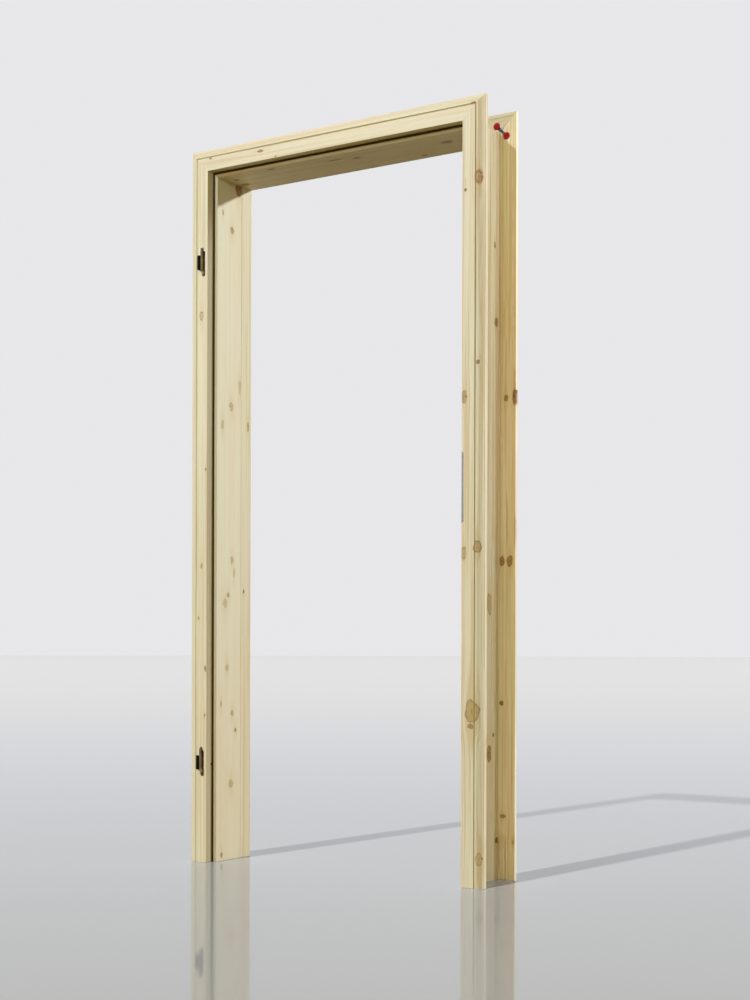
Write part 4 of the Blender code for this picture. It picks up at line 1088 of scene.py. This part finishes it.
def make_seals():
    """Three lengths of seal, mitred in the top corners."""
    tree = make_length_tree()
    half_width = REBATE_WIDTH / 2
    for place, side in (("left", -1), ("right", 1), ("head", 1)):
        values = {
            "Length": REBATE_HEIGHT - MITRE_GAP, "High Slope": float(side),
            "Place": (side * half_width, 0.0, 0.0),
        }
        if place == "head":
            values = {
                "Length": REBATE_WIDTH - 2 * MITRE_GAP, "Low Slope": -1.0, "High Slope": 1.0,
                "Place": (half_width - MITRE_GAP, 0.0, REBATE_HEIGHT), "Turn": (0.0, math.radians(-90), 0.0),
            }
        face = seal_face(f"seal_{place}_face", side)
        grow_piece(f"seal_{place}_length", [f"seal_{place}"], "seal_rubber", tree, values, face)


def make_bolts():
    """The four corner bolts."""
    tree = make_bolt_tree()
    for half in ("front", "rear"):
        for corner, side in (("left", -1), ("right", 1)):
            node = f"{half}_bolt_{corner}"
            low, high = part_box(node)
            values = {
                "Place": tuple((Vector(low) + Vector(high)) / 2),
                "Turn": turn_from((side, 0.0, -1.0), (0.0, 1.0, 0.0)),
            }
            grow_piece(f"{node}_threaded", [node], "blued_steel", tree, values)


def top_of_screw(node, axis):
    """Middle of a screw's flat head, which lies at the low end of its box along an axis."""
    low, high = (Vector(corner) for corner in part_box(node))
    point = (low + high) / 2
    point[axis] = low[axis]
    return point


def make_screws():
    """Two screws in each hinge receiver and three in the strike plate."""
    tree = make_screw_tree()
    for which in ("upper", "lower"):
        nodes = [f"hinge_{which}_screw_{number}" for number in (1, 2)]
        first, second = (top_of_screw(node, 1) for node in nodes)
        values = {
            **RECEIVER_SCREW, "Count": 2, "Step": (0.0, (second - first).length, 0.0), "Place": tuple(first),
            "Turn": turn_from((0.0, -1.0, 0.0), (1.0, 0.0, 0.0)),
        }
        grow_piece(f"hinge_{which}_screws", nodes, "screw_steel", tree, values)
    for number in (1, 2, 3):
        node = f"strike_screw_{number}"
        values = {
            **STRIKE_SCREW, "Count": 1, "Place": tuple(top_of_screw(node, 0)),
            "Turn": turn_from((-1.0, 0.0, 0.0), (0.0, 0.0, 1.0)),
        }
        grow_piece(f"{node}_crossed", [node], "screw_steel", tree, values)


def assign_rest():
    """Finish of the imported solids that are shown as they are."""
    for part in frame["record"]["subparts"]:
        if part["material_slot"] in MATERIALS:
            materials = frame["nodes"][part["node"]].data.materials
            materials.clear()
            materials.append(MATERIALS[part["material_slot"]])


def make_floor():
    """Plain pale floor with a faint gloss; its shadows stay a neutral grey beside the warm wood."""
    place = (0.0, 0.0, -FLOOR_DROP)
    bpy.ops.mesh.primitive_circle_add(vertices=96, radius=FLOOR_RADIUS, fill_type="NGON", location=place)
    floor = bpy.context.object
    floor.name = "studio_floor"
    material, tree, shader, point = new_material("studio_floor")
    matt = tree.add("ShaderNodeLightPath").outputs["Is Diffuse Ray"]
    fade = tree.step(tree.length(point), *FLOOR_FADE)
    tree.feed(
        shader, Base_Color=tree.blend(matt, tree.blend(fade, FLOOR_NEAR, FLOOR_FAR), STUDIO_FILL),
        Emission_Color=tree.blend(matt, tree.blend(fade, FLOOR_SHADE, UNLIT), UNLIT),
        Emission_Strength=1.0, Roughness=0.06, Specular_IOR_Level=0.3,
    )
    floor.data.materials.append(material)
    return floor


def make_world():
    """Even pale surroundings; what they lend to matt surfaces is weaker and warmer."""
    world = bpy.data.worlds.new("studio")
    bpy.context.scene.world = world
    world.use_nodes = True
    tree = Tree(world.node_tree)
    matt = tree.add("ShaderNodeLightPath").outputs["Is Diffuse Ray"]
    tree.feed(
        world.node_tree.nodes["Background"], Color=tree.blend(matt, STUDIO_PALE, STUDIO_FILL), Strength=1.0
    )


def make_lamp(name, lamp):
    """Distant light, or a round soft lamp at a distance from its aim."""
    data = bpy.data.lights.new(name, "AREA" if lamp.aim else "SUN")
    data.color = lamp.color
    light = bpy.data.objects.new(name, data)
    bpy.context.scene.collection.objects.link(light)
    light.rotation_euler = Vector(lamp.comes_from).to_track_quat("Z", "Y").to_euler()
    if lamp.aim:
        data.energy = lamp.power * math.pi * lamp.distance ** 2
        data.shape = "DISK"
        data.size = 2 * lamp.distance * math.tan(math.radians(lamp.spread) / 2)
        light.location = Vector(lamp.aim) + lamp.distance * Vector(lamp.comes_from).normalized()
    else:
        data.energy = lamp.power
        data.angle = math.radians(lamp.spread)
    return light


def make_lights(floor, boards):
    """Lamps in front, behind and at the side of the frame; the floor has a lamp of its own."""
    things = {"floor": floor, **boards}
    lit = {}
    for name, (state, *chosen) in LIT_THINGS.items():
        lit[name] = bpy.data.collections.new(name)
        for number, thing in enumerate(chosen):
            lit[name].objects.link(things[thing])
            lit[name].collection_objects[number].light_linking.link_state = state
    for name, lamp in LAMPS.items():
        light = make_lamp(name, lamp)
        light.light_linking.receiver_collection = lit[lamp.lit]
        light.visible_glossy = lamp.mirrored


def make_camera():
    """Camera at the photograph's place and angle."""
    data = bpy.data.cameras.new("photo_camera")
    data.sensor_fit = "VERTICAL"
    data.sensor_height = SENSOR_SIDE
    data.lens = CAMERA_FOCAL_PIXELS / PHOTO_HEIGHT_PIXELS * SENSOR_SIDE
    data.shift_y = CAMERA_SHIFT_UP
    data.clip_end = CAMERA_FAR
    camera = bpy.data.objects.new("photo_camera", data)
    bpy.context.scene.collection.objects.link(camera)
    turn = Matrix.Rotation(CAMERA_YAW, 4, "Z") @ Matrix.Rotation(math.radians(90), 4, "X")
    camera.matrix_world = Matrix.Translation(CAMERA_PLACE) @ turn @ Matrix.Rotation(CAMERA_ROLL, 4, "Z")
    bpy.context.scene.camera = camera


make_camera()
make_world()
assign_rest()
boards = make_boards()
make_hardware()
make_seals()
make_bolts()
make_screws()
make_lights(make_floor(), boards)

bpy.context.scene.view_settings.view_transform = "Standard"
